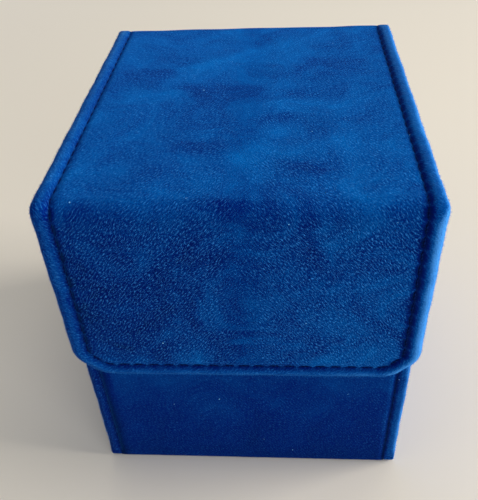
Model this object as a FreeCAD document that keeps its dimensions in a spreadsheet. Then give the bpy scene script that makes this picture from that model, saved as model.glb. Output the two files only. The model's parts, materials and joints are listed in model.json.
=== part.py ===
"""A flip-lid storage box: greyboard panels in suede, with a lid that folds over into a front flap.

Frame: millimetres, origin at the centre of the case's base, X to the right, Y to the back, Z up.
"""
import FreeCAD, Part
import os
import Sketcher

# Driving sizes in millimetres, each with what it measures
SIZES = {
    "case_width": (89.0, "case across its side covers"),
    "case_depth": (98.5, "case from front cover to back cover"),
    "case_height": (97.0, "base to rim"),
    "cover_thickness": (1.0, "suede with its backing"),
    "board_thickness": (2.4, "greyboard"),
    "lining_thickness": (0.7, "lining cloth"),
    "lid_overhang": (0.2, "lid past the case on each side"),
    "lid_gap": (0.2, "rim to lid lining"),
    "flap_gap": (0.3, "front cover to flap lining"),
    "fold_slack": (0.2, "fold to the upper edge of the flap"),
    "flap_drop": (55.3, "lid's upper face to the flap's lower edge"),
    "flap_corner_cut": (6.4, "leg of the clipped flap corner"),
    "flap_corner_round": (4.1, "soft ends of that cut, at the seam"),
    "roll_radius": (1.6, "outside of a rolled edge"),
    "seam_radius": (0.7, "each lip of a stitched seam"),
    "rim_radius": (0.8, "turned-over rim and lower edges of the covers"),
    "foot_radius": (2.4, "lower corners of the side piping"),
    "strip_drop": (4.0, "hinge strip below the rim"),
    "strip_rise": (1.6, "hinge strip above the rim"),
    "hinge_offset": (0.1, "hinge line behind the back cover"),
    "crease_radius": (0.4, "crease along the hinge line"),
    "magnet_radius": (5.0, "disc magnet"),
    "magnet_height": (1.5, "disc magnet"),
    "magnet_spacing": (46.0, "between the two magnets of a pair"),
    "magnet_rise": (13.0, "flap's lower edge to the magnets"),
    "magnet_clearance": (0.1, "round a magnet in its pocket"),
}

# Layers of a wall from the outside in; a rolled edge is as wide as cover and board together
COVER = "Sizes.cover_thickness"
BOARD = "Sizes.board_thickness"
LINING = "Sizes.lining_thickness"
ROLL = f"({COVER} + {BOARD})"
WALL = f"({ROLL} + {LINING})"

# Half widths and half depths of the case at each layer: outside, board, inside of the roll, room
SIDE = "(Sizes.case_width / 2)"
SIDE_BOARD = f"({SIDE} - {COVER})"
SIDE_CORE = f"({SIDE} - {ROLL})"
SIDE_ROOM = f"({SIDE} - {WALL})"
END = "(Sizes.case_depth / 2)"
END_BOARD = f"({END} - {COVER})"
END_CORE = f"({END} - {ROLL})"
END_ROOM = f"({END} - {WALL})"

# Heights, and the lid and flap that follow from them
RIM = "Sizes.case_height"
LID_SIDE = f"({SIDE} + Sizes.lid_overhang)"
LID_CORE = f"({LID_SIDE} - {ROLL})"
LID_UNDER = f"({RIM} + Sizes.lid_gap)"
LID_BOARD = f"({LID_UNDER} + {LINING})"
LID_TOP = f"({LID_UNDER} + {WALL})"
STRIP_LOW = f"({RIM} - Sizes.strip_drop)"
STRIP_TOP = f"({RIM} + Sizes.strip_rise)"
HINGE_HEIGHT = f"({RIM} + Sizes.lid_gap / 2)"
FLAP_INSIDE = f"(-{END} - Sizes.flap_gap)"
FLAP_BOARD = f"({FLAP_INSIDE} - {LINING})"
FLAP_COVER = f"({FLAP_BOARD} - {BOARD})"
FLAP_TOP = f"({LID_UNDER} - Sizes.fold_slack)"
FLAP_LOW = f"({LID_TOP} - Sizes.flap_drop)"
MAGNET_CENTRE = f"({FLAP_LOW} + Sizes.magnet_rise)"

# Roundings, each limited by the wall that carries it
ROLL_BEND = f"min(Sizes.roll_radius; 0.45 * {WALL})"
SEAM_BEND = f"min(Sizes.seam_radius; 0.8 * {COVER})"
RIM_BEND = f"min(Sizes.rim_radius; 0.9 * {COVER})"

# A 45 degree cut loses this share of an inward offset from its leg
CUT_LOSS = "(2 - sqrt(2))"
QUARTER_TURN = 90
TOUCH = 1e-4

os.makedirs("parts", exist_ok=True)
doc = FreeCAD.newDocument("FlipLidBox")
sheet = doc.addObject("Spreadsheet::Sheet", "Sizes")
nodes = []


def fill_sheet():
    """Write the driving sizes into the spreadsheet, one alias a row."""
    for row, (name, (size, meaning)) in enumerate(SIZES.items(), start=1):
        sheet.set(f"A{row}", name)
        sheet.set(f"B{row}", str(size))
        sheet.set(f"C{row}", meaning)
        sheet.setAlias(f"B{row}", name)
    doc.recompute()


def value(expression):
    """The size that an expression gives now."""
    return float(sheet.evalExpression(expression))


def both(half):
    """A span that is centred on the middle plane."""
    return (f"-{half}", half)


def on_side(side, low, high):
    """A span across X on the right, or its mirror image on the left."""
    return (low, high) if side == "right" else (f"-{high}", f"-{low}")


def plate(label, x, y, z):
    """A flat sheet of board or cloth between three pairs of planes."""
    box = doc.addObject("Part::Box", label)
    for length, axis, (low, high) in (("Length", "x", x), ("Width", "y", y), ("Height", "z", z)):
        box.setExpression(length, f"{high} - ({low})")
        box.setExpression(f"Placement.Base.{axis}", low)
    nodes.append(box)


def new_body(label):
    """An empty body that becomes one node."""
    body = doc.addObject("PartDesign::Body", label)
    nodes.append(body)
    return body


def new_sketch(body, plane, up="0", out="0"):
    """A sketch on one of the body's origin planes, shifted up in the plane and out along its normal."""
    sketch = body.newObject("Sketcher::SketchObject", f"{body.Label}_sketch")
    support = next(f for f in body.Origin.OriginFeatures if f.Role == plane)
    sketch.AttachmentSupport = (support, [""])
    sketch.MapMode = "FlatFace"
    sketch.setExpression("AttachmentOffset.Base.y", up)
    sketch.setExpression("AttachmentOffset.Base.z", out)
    return sketch


def hold_point(sketch, geometry, position, across, up):
    """Fix one point of a sketch at a place given by two expressions."""
    for kind, expression in (("DistanceX", across), ("DistanceY", up)):
        constraint = Sketcher.Constraint(kind, -1, 1, geometry, position, value(expression))
        index = sketch.addConstraint(constraint)
        sketch.setExpression(f"Constraints[{index}]", expression)


def draw_polygon(sketch, corners):
    """A closed outline through corners that are given as pairs of expressions."""
    points = [FreeCAD.Vector(value(across), value(up), 0) for across, up in corners]
    count = len(points)
    for index in range(count):
        sketch.addGeometry(Part.LineSegment(points[index], points[(index + 1) % count]))
    for index in range(count):
        sketch.addConstraint(Sketcher.Constraint("Coincident", index, 2, (index + 1) % count, 1))
    for index, (across, up) in enumerate(corners):
        hold_point(sketch, index, 1, across, up)


def draw_rectangle(sketch, across, up):
    """A rectangle between two pairs of expressions."""
    corners = [(across[0], up[0]), (across[1], up[0]), (across[1], up[1]), (across[0], up[1])]
    draw_polygon(sketch, corners)


def draw_circle(sketch, across, up, radius):
    """A circle with its centre and radius held by expressions."""
    centre = FreeCAD.Vector(value(across), value(up), 0)
    index = sketch.addGeometry(Part.Circle(centre, FreeCAD.Vector(0, 0, 1), value(radius)))
    hold_point(sketch, index, 3, across, up)
    constraint = sketch.addConstraint(Sketcher.Constraint("Radius", index, value(radius)))
    sketch.setExpression(f"Constraints[{constraint}]", radius)


def pad(body, sketch, length, centred=False):
    """The sketch pushed out along its normal, or to both sides of its plane."""
    feature = body.newObject("PartDesign::Pad", f"{body.Label}_pad")
    feature.Profile = sketch
    feature.Midplane = centred
    feature.setExpression("Length", length)
    doc.recompute()
    return feature


def pocket(body, sketch, length, reverse=False, centred=False):
    """The sketch cut into the body, with proof that it cut something."""
    before = body.Shape.Volume
    feature = body.newObject("PartDesign::Pocket", f"{body.Label}_pocket")
    feature.Profile = sketch
    feature.Reversed = reverse
    feature.Midplane = centred
    feature.setExpression("Length", length)
    doc.recompute()
    if feature.Shape.Volume > before - TOUCH:
        raise RuntimeError(f"{body.Label}: the pocket cuts nothing")


def tight_box(feature):
    """The exact box round a feature."""
    return feature.Shape.optimalBoundingBox(False, False)


def in_side(point, box, side):
    """True where a point lies in a named side of a box, such as x+ or z-."""
    low, high = {"x": (box.XMin, box.XMax), "y": (box.YMin, box.YMax), "z": (box.ZMin, box.ZMax)}[side[0]]
    return abs(getattr(point, side[0]) - (high if side[1] == "+" else low)) < TOUCH


def edges_where(feature, test):
    """Names of the edges that pass a test."""
    edges = enumerate(feature.Shape.Edges, start=1)
    return [f"Edge{number}" for number, edge in edges if not edge.Degenerated and test(edge)]


def lies_in(edge, box, *sides):
    """True where an edge lies in every named side of a box."""
    return all(in_side(point, box, side) for side in sides for point in edge.discretize(3))


def edges_between(feature, *pairs):
    """Names of the edges where two sides of a piece's box meet."""
    box = tight_box(feature)
    return edges_where(feature, lambda edge: any(lies_in(edge, box, *pair) for pair in pairs))


def outline_edges(feature, side, outward):
    """Names of a frame's edges in one side of its box, along its outer or its inner wall."""
    box = tight_box(feature)
    chosen = []
    for face in feature.Shape.Faces:
        normal = face.normalAt(*face.Surface.parameter(face.CenterOfMass))
        if abs(getattr(normal, side[0])) > TOUCH or in_side(face.CenterOfMass, box, "z+"):
            continue
        away = normal.dot(face.CenterOfMass - box.Center) > 0
        if away == outward:
            chosen += [edge for edge in face.Edges if lies_in(edge, box, side)]
    return edges_where(feature, lambda edge: any(edge.isSame(other) for other in chosen))


def fillet(body, feature, edges, radius):
    """A rounding along named edges."""
    if not edges:
        raise RuntimeError(f"{body.Label}: no edges to round")
    rounding = body.newObject("PartDesign::Fillet", f"{body.Label}_fillet")
    rounding.Base = (feature, edges)
    rounding.setExpression("Radius", radius)
    doc.recompute()
    return rounding


def make_boards():
    """Greyboard panels of the case and of the lid's top."""
    plate("base_board", both(SIDE_CORE), both(END_CORE), (COVER, ROLL))
    plate("back_board", both(SIDE_CORE), (END_CORE, END_BOARD), (COVER, f"({RIM} - {LINING})"))
    below_rim = f"({RIM} - {COVER})"
    for side in ("left", "right"):
        plate(f"{side}_board", on_side(side, SIDE_CORE, SIDE_BOARD), both(END_CORE), (ROLL, below_rim))
    plate("top_board", both(LID_CORE), (FLAP_INSIDE, END_BOARD), (LID_BOARD, f"({LID_BOARD} + {BOARD})"))
    body = new_body("front_board")
    sketch = new_sketch(body, "XZ_Plane", out=END_CORE)
    draw_rectangle(sketch, both(SIDE_CORE), (COVER, below_rim))
    pad(body, sketch, BOARD)
    cut_magnet_pockets(body, f"-{END_BOARD}", reverse=False)


def make_linings():
    """Lining cloth inside the case, with the back one turned over the rim, and under the lid."""
    plate("base_lining", both(SIDE_ROOM), both(END_ROOM), (ROLL, WALL))
    plate("front_lining", both(SIDE_CORE), (f"-{END_CORE}", f"-{END_ROOM}"), (ROLL, RIM))
    for side in ("left", "right"):
        plate(f"{side}_lining", on_side(side, SIDE_ROOM, SIDE_CORE), both(END_ROOM), (ROLL, RIM))
    body = new_body("back_lining")
    sketch = new_sketch(body, "YZ_Plane")
    below_rim = f"({RIM} - {LINING})"
    draw_polygon(sketch, [(END_ROOM, ROLL), (END_CORE, ROLL), (END_CORE, below_rim), (END_BOARD, below_rim),
                          (END_BOARD, RIM), (END_ROOM, RIM)])
    pad(body, sketch, f"2 * {SIDE_CORE}", centred=True)
    plate("top_lining", both(LID_CORE), (FLAP_INSIDE, END_BOARD), (LID_UNDER, LID_BOARD))


def turned_over(outside, inward, low):
    """Corners of a cover that climbs a wall from low and turns over its rim; inward is + or -."""
    skin = f"({outside} {inward} {COVER})"
    core = f"({outside} {inward} {ROLL})"
    below_rim = f"({RIM} - {COVER})"
    return [(outside, low), (skin, low), (skin, below_rim), (core, below_rim), (core, RIM), (outside, RIM)]


def make_covers():
    """Suede panels on the outside of the case, with rounded lips along their seams."""
    across = f"2 * {SIDE_CORE}"
    body = new_body("front_cover")
    sketch = new_sketch(body, "YZ_Plane")
    draw_polygon(sketch, turned_over(f"-{END}", "+", "0"))
    panel = pad(body, sketch, across, centred=True)
    bent = fillet(body, panel, edges_between(panel, ("y-", "z+"), ("y-", "z-")), RIM_BEND)
    fillet(body, bent, edges_between(bent, ("x-", "y-"), ("x+", "y-")), SEAM_BEND)

    body = new_body("back_cover")
    sketch = new_sketch(body, "YZ_Plane")
    draw_rectangle(sketch, (END_BOARD, END), ("0", STRIP_LOW))
    panel = pad(body, sketch, across, centred=True)
    bent = fillet(body, panel, edges_between(panel, ("y+", "z-")), RIM_BEND)
    fillet(body, bent, edges_between(bent, ("x-", "y+"), ("x+", "y+")), SEAM_BEND)

    body = new_body("base_cover")
    sketch = new_sketch(body, "XZ_Plane")
    draw_rectangle(sketch, both(SIDE_CORE), ("0", COVER))
    panel = pad(body, sketch, f"2 * {END_BOARD}", centred=True)
    fillet(body, panel, edges_between(panel, ("x-", "z-"), ("x+", "z-")), SEAM_BEND)

    for side, outside, inward, face in (("left", f"-{SIDE}", "+", "x-"), ("right", SIDE, "-", "x+")):
        body = new_body(f"{side}_cover")
        sketch = new_sketch(body, "XZ_Plane")
        draw_polygon(sketch, turned_over(outside, inward, ROLL))
        panel = pad(body, sketch, f"2 * {END_CORE}", centred=True)
        bent = fillet(body, panel, edges_between(panel, (face, "z+")), RIM_BEND)
        fillet(body, bent, edges_between(bent, (face, "y-"), (face, "y+"), (face, "z-")), SEAM_BEND)


def make_side_piping():
    """Rolled edges of the case: down the front, under the base and up the back on each side."""
    for side, start, outer, inner in (("left", f"-{SIDE}", "x-", "x+"), ("right", SIDE_CORE, "x+", "x-")):
        body = new_body(f"{side}_piping")
        sketch = new_sketch(body, "YZ_Plane", out=start)
        draw_polygon(sketch, [(f"-{END}", RIM), (f"-{END}", "0"), (END, "0"), (END, RIM), (END_CORE, RIM),
                              (END_CORE, ROLL), (f"-{END_CORE}", ROLL), (f"-{END_CORE}", RIM)])
        frame = pad(body, sketch, ROLL)
        foot = fillet(body, frame, edges_between(frame, ("y-", "z-"), ("y+", "z-")), "Sizes.foot_radius")
        rolled = fillet(body, foot, outline_edges(foot, outer, True), ROLL_BEND)
        seams = outline_edges(rolled, inner, True) + outline_edges(rolled, outer, False)
        fillet(body, rolled, seams, SEAM_BEND)


def make_lid():
    """Suede over the top panel, turned down its rear edge, between two rolled side edges."""
    body = new_body("top_cover")
    sketch = new_sketch(body, "YZ_Plane")
    below = f"({LID_TOP} - {COVER})"
    draw_polygon(sketch, [(FLAP_INSIDE, below), (END_BOARD, below), (END_BOARD, STRIP_TOP), (END, STRIP_TOP),
                          (END, LID_TOP), (FLAP_INSIDE, LID_TOP)])
    panel = pad(body, sketch, f"2 * {LID_CORE}", centred=True)
    bent = fillet(body, panel, edges_between(panel, ("y+", "z+")), ROLL_BEND)
    fillet(body, bent, edges_between(bent, ("x-", "z+"), ("x+", "z+")), SEAM_BEND)

    for side, outer, inner in (("left", "x-", "x+"), ("right", "x+", "x-")):
        body = new_body(f"top_{side}_piping")
        sketch = new_sketch(body, "XZ_Plane", out=f"-{END}")
        draw_rectangle(sketch, on_side(side, LID_CORE, LID_SIDE), (LID_UNDER, LID_TOP))
        bar = pad(body, sketch, f"{END} - {FLAP_INSIDE}")
        outside = edges_between(bar, (outer, "z+"), (outer, "z-"), (outer, "y+"), ("y+", "z+"))
        rolled = fillet(body, bar, outside, ROLL_BEND)
        fillet(body, rolled, edges_between(rolled, (inner, "z+")), SEAM_BEND)


def make_hinge():
    """The suede strip that joins lid and back wall, with a crease along the hinge line."""
    body = new_body("hinge_strip")
    sketch = new_sketch(body, "YZ_Plane")
    draw_rectangle(sketch, (END_BOARD, END), (STRIP_LOW, STRIP_TOP))
    pad(body, sketch, f"2 * {SIDE_CORE}", centred=True)
    crease = new_sketch(body, "YZ_Plane")
    draw_circle(crease, f"({END} + Sizes.hinge_offset)", HINGE_HEIGHT, "Sizes.crease_radius")
    pocket(body, crease, f"4 * {SIDE_CORE}", centred=True)


def make_fold():
    """The soft quarter-round between lid and flap: suede in the middle, a rolled edge at each side."""
    cover = turn_about_fold("fold_cover", both(LID_CORE), (f"({WALL} - {COVER})", WALL))
    fillet(cover, cover.Tip, outer_arcs(cover.Tip, "x-", "x+"), SEAM_BEND)
    for side, outer in (("left", "x-"), ("right", "x+")):
        roll = turn_about_fold(f"fold_{side}_piping", on_side(side, LID_CORE, LID_SIDE), (LINING, WALL))
        fillet(roll, roll.Tip, outer_arcs(roll.Tip, outer), ROLL_BEND)


def turn_about_fold(label, x, radii):
    """A rectangle above the fold line, turned forward and down through a quarter turn about it."""
    body = new_body(label)
    sketch = new_sketch(body, "XZ_Plane", up=LID_UNDER, out=f"-{FLAP_INSIDE}")
    draw_rectangle(sketch, x, radii)
    turned = body.newObject("PartDesign::Revolution", f"{label}_turn")
    turned.Profile = sketch
    turned.ReferenceAxis = (sketch, ["H_Axis"])
    turned.Angle = QUARTER_TURN
    doc.recompute()
    if tight_box(turned).YMin > value(FLAP_INSIDE) - TOUCH:
        turned.Reversed = True
        doc.recompute()
    return body


def outer_arcs(feature, *sides):
    """Names of the arcs at the outside of the fold, in the named sides of the piece's box."""
    box = tight_box(feature)
    outer = value(WALL)

    def is_outer_arc(edge):
        round_edge = isinstance(edge.Curve, Part.Circle) and abs(edge.Curve.Radius - outer) < TOUCH
        return round_edge and any(lies_in(edge, box, side) for side in sides)

    return edges_where(feature, is_outer_arc)


def flap_layer(label, inset, face, thickness):
    """A layer of the flap: its clipped outline drawn in by inset, from a face of the flap outwards."""
    half = f"({LID_SIDE} - {inset})"
    low = f"({FLAP_LOW} + {inset})"
    cut = f"(Sizes.flap_corner_cut - {inset} * {CUT_LOSS})"
    body = new_body(label)
    sketch = new_sketch(body, "XZ_Plane", out=f"-{face}")
    draw_polygon(sketch, [(f"-{half}", FLAP_TOP), (f"-{half}", f"{low} + {cut}"), (f"-({half} - {cut})", low),
                          (f"({half} - {cut})", low), (half, f"{low} + {cut}"), (half, FLAP_TOP)])
    layer = pad(body, sketch, thickness)
    ends = edges_where(layer, is_clipped_corner)
    return body, fillet(body, layer, ends, f"Sizes.flap_corner_round + {ROLL} - {inset}")


def is_clipped_corner(edge):
    """True for an edge along Y at either end of a corner cut."""
    start, end = (vertex.Point for vertex in edge.Vertexes)
    crosswise = abs(start.x - end.x) < TOUCH and abs(start.z - end.z) < TOUCH
    return crosswise and start.z < value(FLAP_TOP) - TOUCH


def make_flap():
    """The flap: lining, board and suede inside a rolled edge that follows the clipped corners."""
    flap_layer("flap_lining", ROLL, FLAP_INSIDE, LINING)
    board, _ = flap_layer("flap_board", ROLL, FLAP_BOARD, BOARD)
    cut_magnet_pockets(board, FLAP_BOARD, reverse=True)
    cover, layer = flap_layer("flap_cover", ROLL, FLAP_COVER, COVER)
    fillet(cover, layer, outline_edges(layer, "y-", True), SEAM_BEND)

    body, layer = flap_layer("flap_piping", "0", FLAP_INSIDE, WALL)
    frame = body.newObject("PartDesign::Thickness", "flap_piping_frame")
    box = tight_box(layer)
    faces = enumerate(layer.Shape.Faces, start=1)
    open_faces = [f"Face{number}" for number, face in faces
                  if any(in_side(face.CenterOfMass, box, side) for side in ("y-", "y+", "z+"))]
    frame.Base = (layer, open_faces)
    frame.setExpression("Value", ROLL)
    frame.Reversed = True
    doc.recompute()
    outside = outline_edges(frame, "y-", True) + outline_edges(frame, "y+", True)
    rolled = fillet(body, frame, outside, ROLL_BEND)
    fillet(body, rolled, outline_edges(rolled, "y-", False), SEAM_BEND)


def magnet_places():
    """The two magnets of a pair: side and distance from the middle."""
    return (("left", "-Sizes.magnet_spacing / 2"), ("right", "Sizes.magnet_spacing / 2"))


def cut_magnet_pockets(body, face, reverse):
    """Round pockets for a pair of magnets, sunk from a face of a board."""
    sketch = new_sketch(body, "XZ_Plane", out=f"-({face})")
    for _, across in magnet_places():
        draw_circle(sketch, across, MAGNET_CENTRE, "Sizes.magnet_radius + Sizes.magnet_clearance")
    pocket(body, sketch, "Sizes.magnet_height", reverse=reverse)


def make_magnets():
    """Disc magnets in the pockets of the front board and of the flap board, facing each other."""
    lying = FreeCAD.Rotation(FreeCAD.Vector(1, 0, 0), QUARTER_TURN)
    for owner, back in (("case", f"-{END_BOARD} + Sizes.magnet_height"), ("flap", FLAP_BOARD)):
        for side, across in magnet_places():
            disc = doc.addObject("Part::Cylinder", f"{owner}_{side}_magnet")
            disc.Placement = FreeCAD.Placement(FreeCAD.Vector(), lying)
            disc.setExpression("Radius", "Sizes.magnet_radius")
            disc.setExpression("Height", "Sizes.magnet_height")
            for axis, place in (("x", across), ("y", back), ("z", MAGNET_CENTRE)):
                disc.setExpression(f"Placement.Base.{axis}", place)
            nodes.append(disc)


def write_parts():
    """Check every object and every node, then write one file a node."""
    doc.recompute()
    failed = [thing.Label for thing in doc.Objects if "Invalid" in thing.State or "Error" in thing.State]
    bad = [node.Label for node in nodes if node.Shape.isNull() or not node.Shape.isValid()]
    if failed or bad:
        raise RuntimeError(f"failed: {failed}, bad shapes: {bad}")
    for node in nodes:
        node.Shape.exportStep(f"parts/{node.Label}.step")
    print(f"{len(nodes)} nodes written")


fill_sheet()
make_boards()
make_linings()
make_covers()
make_side_piping()
make_lid()
make_hinge()
make_fold()
make_flap()
make_magnets()
write_parts()
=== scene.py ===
"""Looks of a flip-lid storage box covered in blue suede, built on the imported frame.

Frame: metres, origin at the centre of the case's base, X to the right, Y to the back, Z up.
Every sheet is worked out flat, as it was cut: a across it, s along it and h out of it. A section line
then wraps the flat sheet round the box.
"""

import json
import logging
import math
from collections.abc import Callable
from dataclasses import dataclass, field, replace
from enum import Enum
from functools import reduce

import bpy
import numpy as np
from mathutils import Matrix, Vector


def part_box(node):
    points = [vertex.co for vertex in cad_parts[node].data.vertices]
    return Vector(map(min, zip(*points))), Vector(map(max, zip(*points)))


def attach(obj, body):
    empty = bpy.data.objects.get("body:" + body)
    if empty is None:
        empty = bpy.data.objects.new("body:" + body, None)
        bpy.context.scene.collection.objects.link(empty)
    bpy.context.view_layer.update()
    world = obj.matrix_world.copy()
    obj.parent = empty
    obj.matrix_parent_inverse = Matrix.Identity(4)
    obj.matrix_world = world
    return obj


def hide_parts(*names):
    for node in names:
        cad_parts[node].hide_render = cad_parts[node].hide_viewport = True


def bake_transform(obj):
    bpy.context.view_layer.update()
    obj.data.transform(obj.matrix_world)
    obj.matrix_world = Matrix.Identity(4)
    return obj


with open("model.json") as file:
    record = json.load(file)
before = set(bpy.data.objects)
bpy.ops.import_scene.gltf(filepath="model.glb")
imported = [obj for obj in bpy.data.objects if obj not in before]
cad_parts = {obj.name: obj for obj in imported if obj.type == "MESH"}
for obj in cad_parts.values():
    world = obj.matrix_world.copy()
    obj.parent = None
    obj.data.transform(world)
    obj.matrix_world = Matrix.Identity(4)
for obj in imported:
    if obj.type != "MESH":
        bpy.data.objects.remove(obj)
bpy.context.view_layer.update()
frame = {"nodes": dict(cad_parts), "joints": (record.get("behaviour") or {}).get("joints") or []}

LOG = logging.getLogger("flip_lid_box")
MM = 0.001
SAME_POINT = 1e-9  # metres; points closer than this on a line are one
NO_LENGTH = 1e-15  # keeps a division by the length of a vector from failing
CLOTH_UV = "cloth"
WAVE_PERIOD = math.pi / 10  # length of one band of the wave texture at scale 1
Array = np.ndarray


class Body(str, Enum):
    """Bodies of the frame that a piece can ride on."""

    CASE = "case"
    LID = "lid"
    FLAP = "flap"


class Slot(str, Enum):
    """Material slots of the record."""

    SUEDE = "suede"
    LINING = "lining"
    THREAD = "thread"


class Plane(Enum):
    """Plane that a section line is drawn in; the sheet runs across it."""

    YZ = "across x"
    XZ = "across y"


class Edge(Enum):
    """Edges of a rectangular panel: the two sides, and the two ends of its section line."""

    LOW = "low side"
    HIGH = "high side"
    START = "start"
    END = "end"


def linear(colour: str) -> tuple[float, float, float, float]:
    """Turn an sRGB hex colour into linear light.

    Args:
        colour: A hash sign and six hex digits.

    Returns:
        Red, green, blue and alpha.
    """
    srgb = np.array([int(colour[i:i + 2], 16) for i in (1, 3, 5)]) / 255
    light = np.where(srgb <= 0.04045, srgb / 12.92, ((srgb + 0.055) / 1.055) ** 2.4)
    return (*light.tolist(), 1.0)


def add_node(tree: bpy.types.NodeTree, kind: str, inputs: dict | None = None, **settings) -> bpy.types.Node:
    """Add one shader node with its settings and links.

    Args:
        tree: Node tree of a material or of the world.
        kind: Node type without its common prefix.
        inputs: Socket name or index, and either a value or an output socket to link.
        **settings: Properties of the node itself.

    Returns:
        The new node.
    """
    made = tree.nodes.new("ShaderNode" + kind)
    for name, setting in settings.items():
        setattr(made, name, setting)
    for key, given in (inputs or {}).items():
        if isinstance(given, bpy.types.NodeSocket):
            tree.links.new(given, made.inputs[key])
        else:
            made.inputs[key].default_value = given
    return made


def new_material(name: str) -> tuple[bpy.types.Material, bpy.types.NodeTree]:
    """Make an empty node material.

    Args:
        name: Name of the finish.

    Returns:
        The material and its cleared node tree.
    """
    material = bpy.data.materials.new(name)
    material.use_nodes = True
    material.node_tree.nodes.clear()
    return material, material.node_tree


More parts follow.
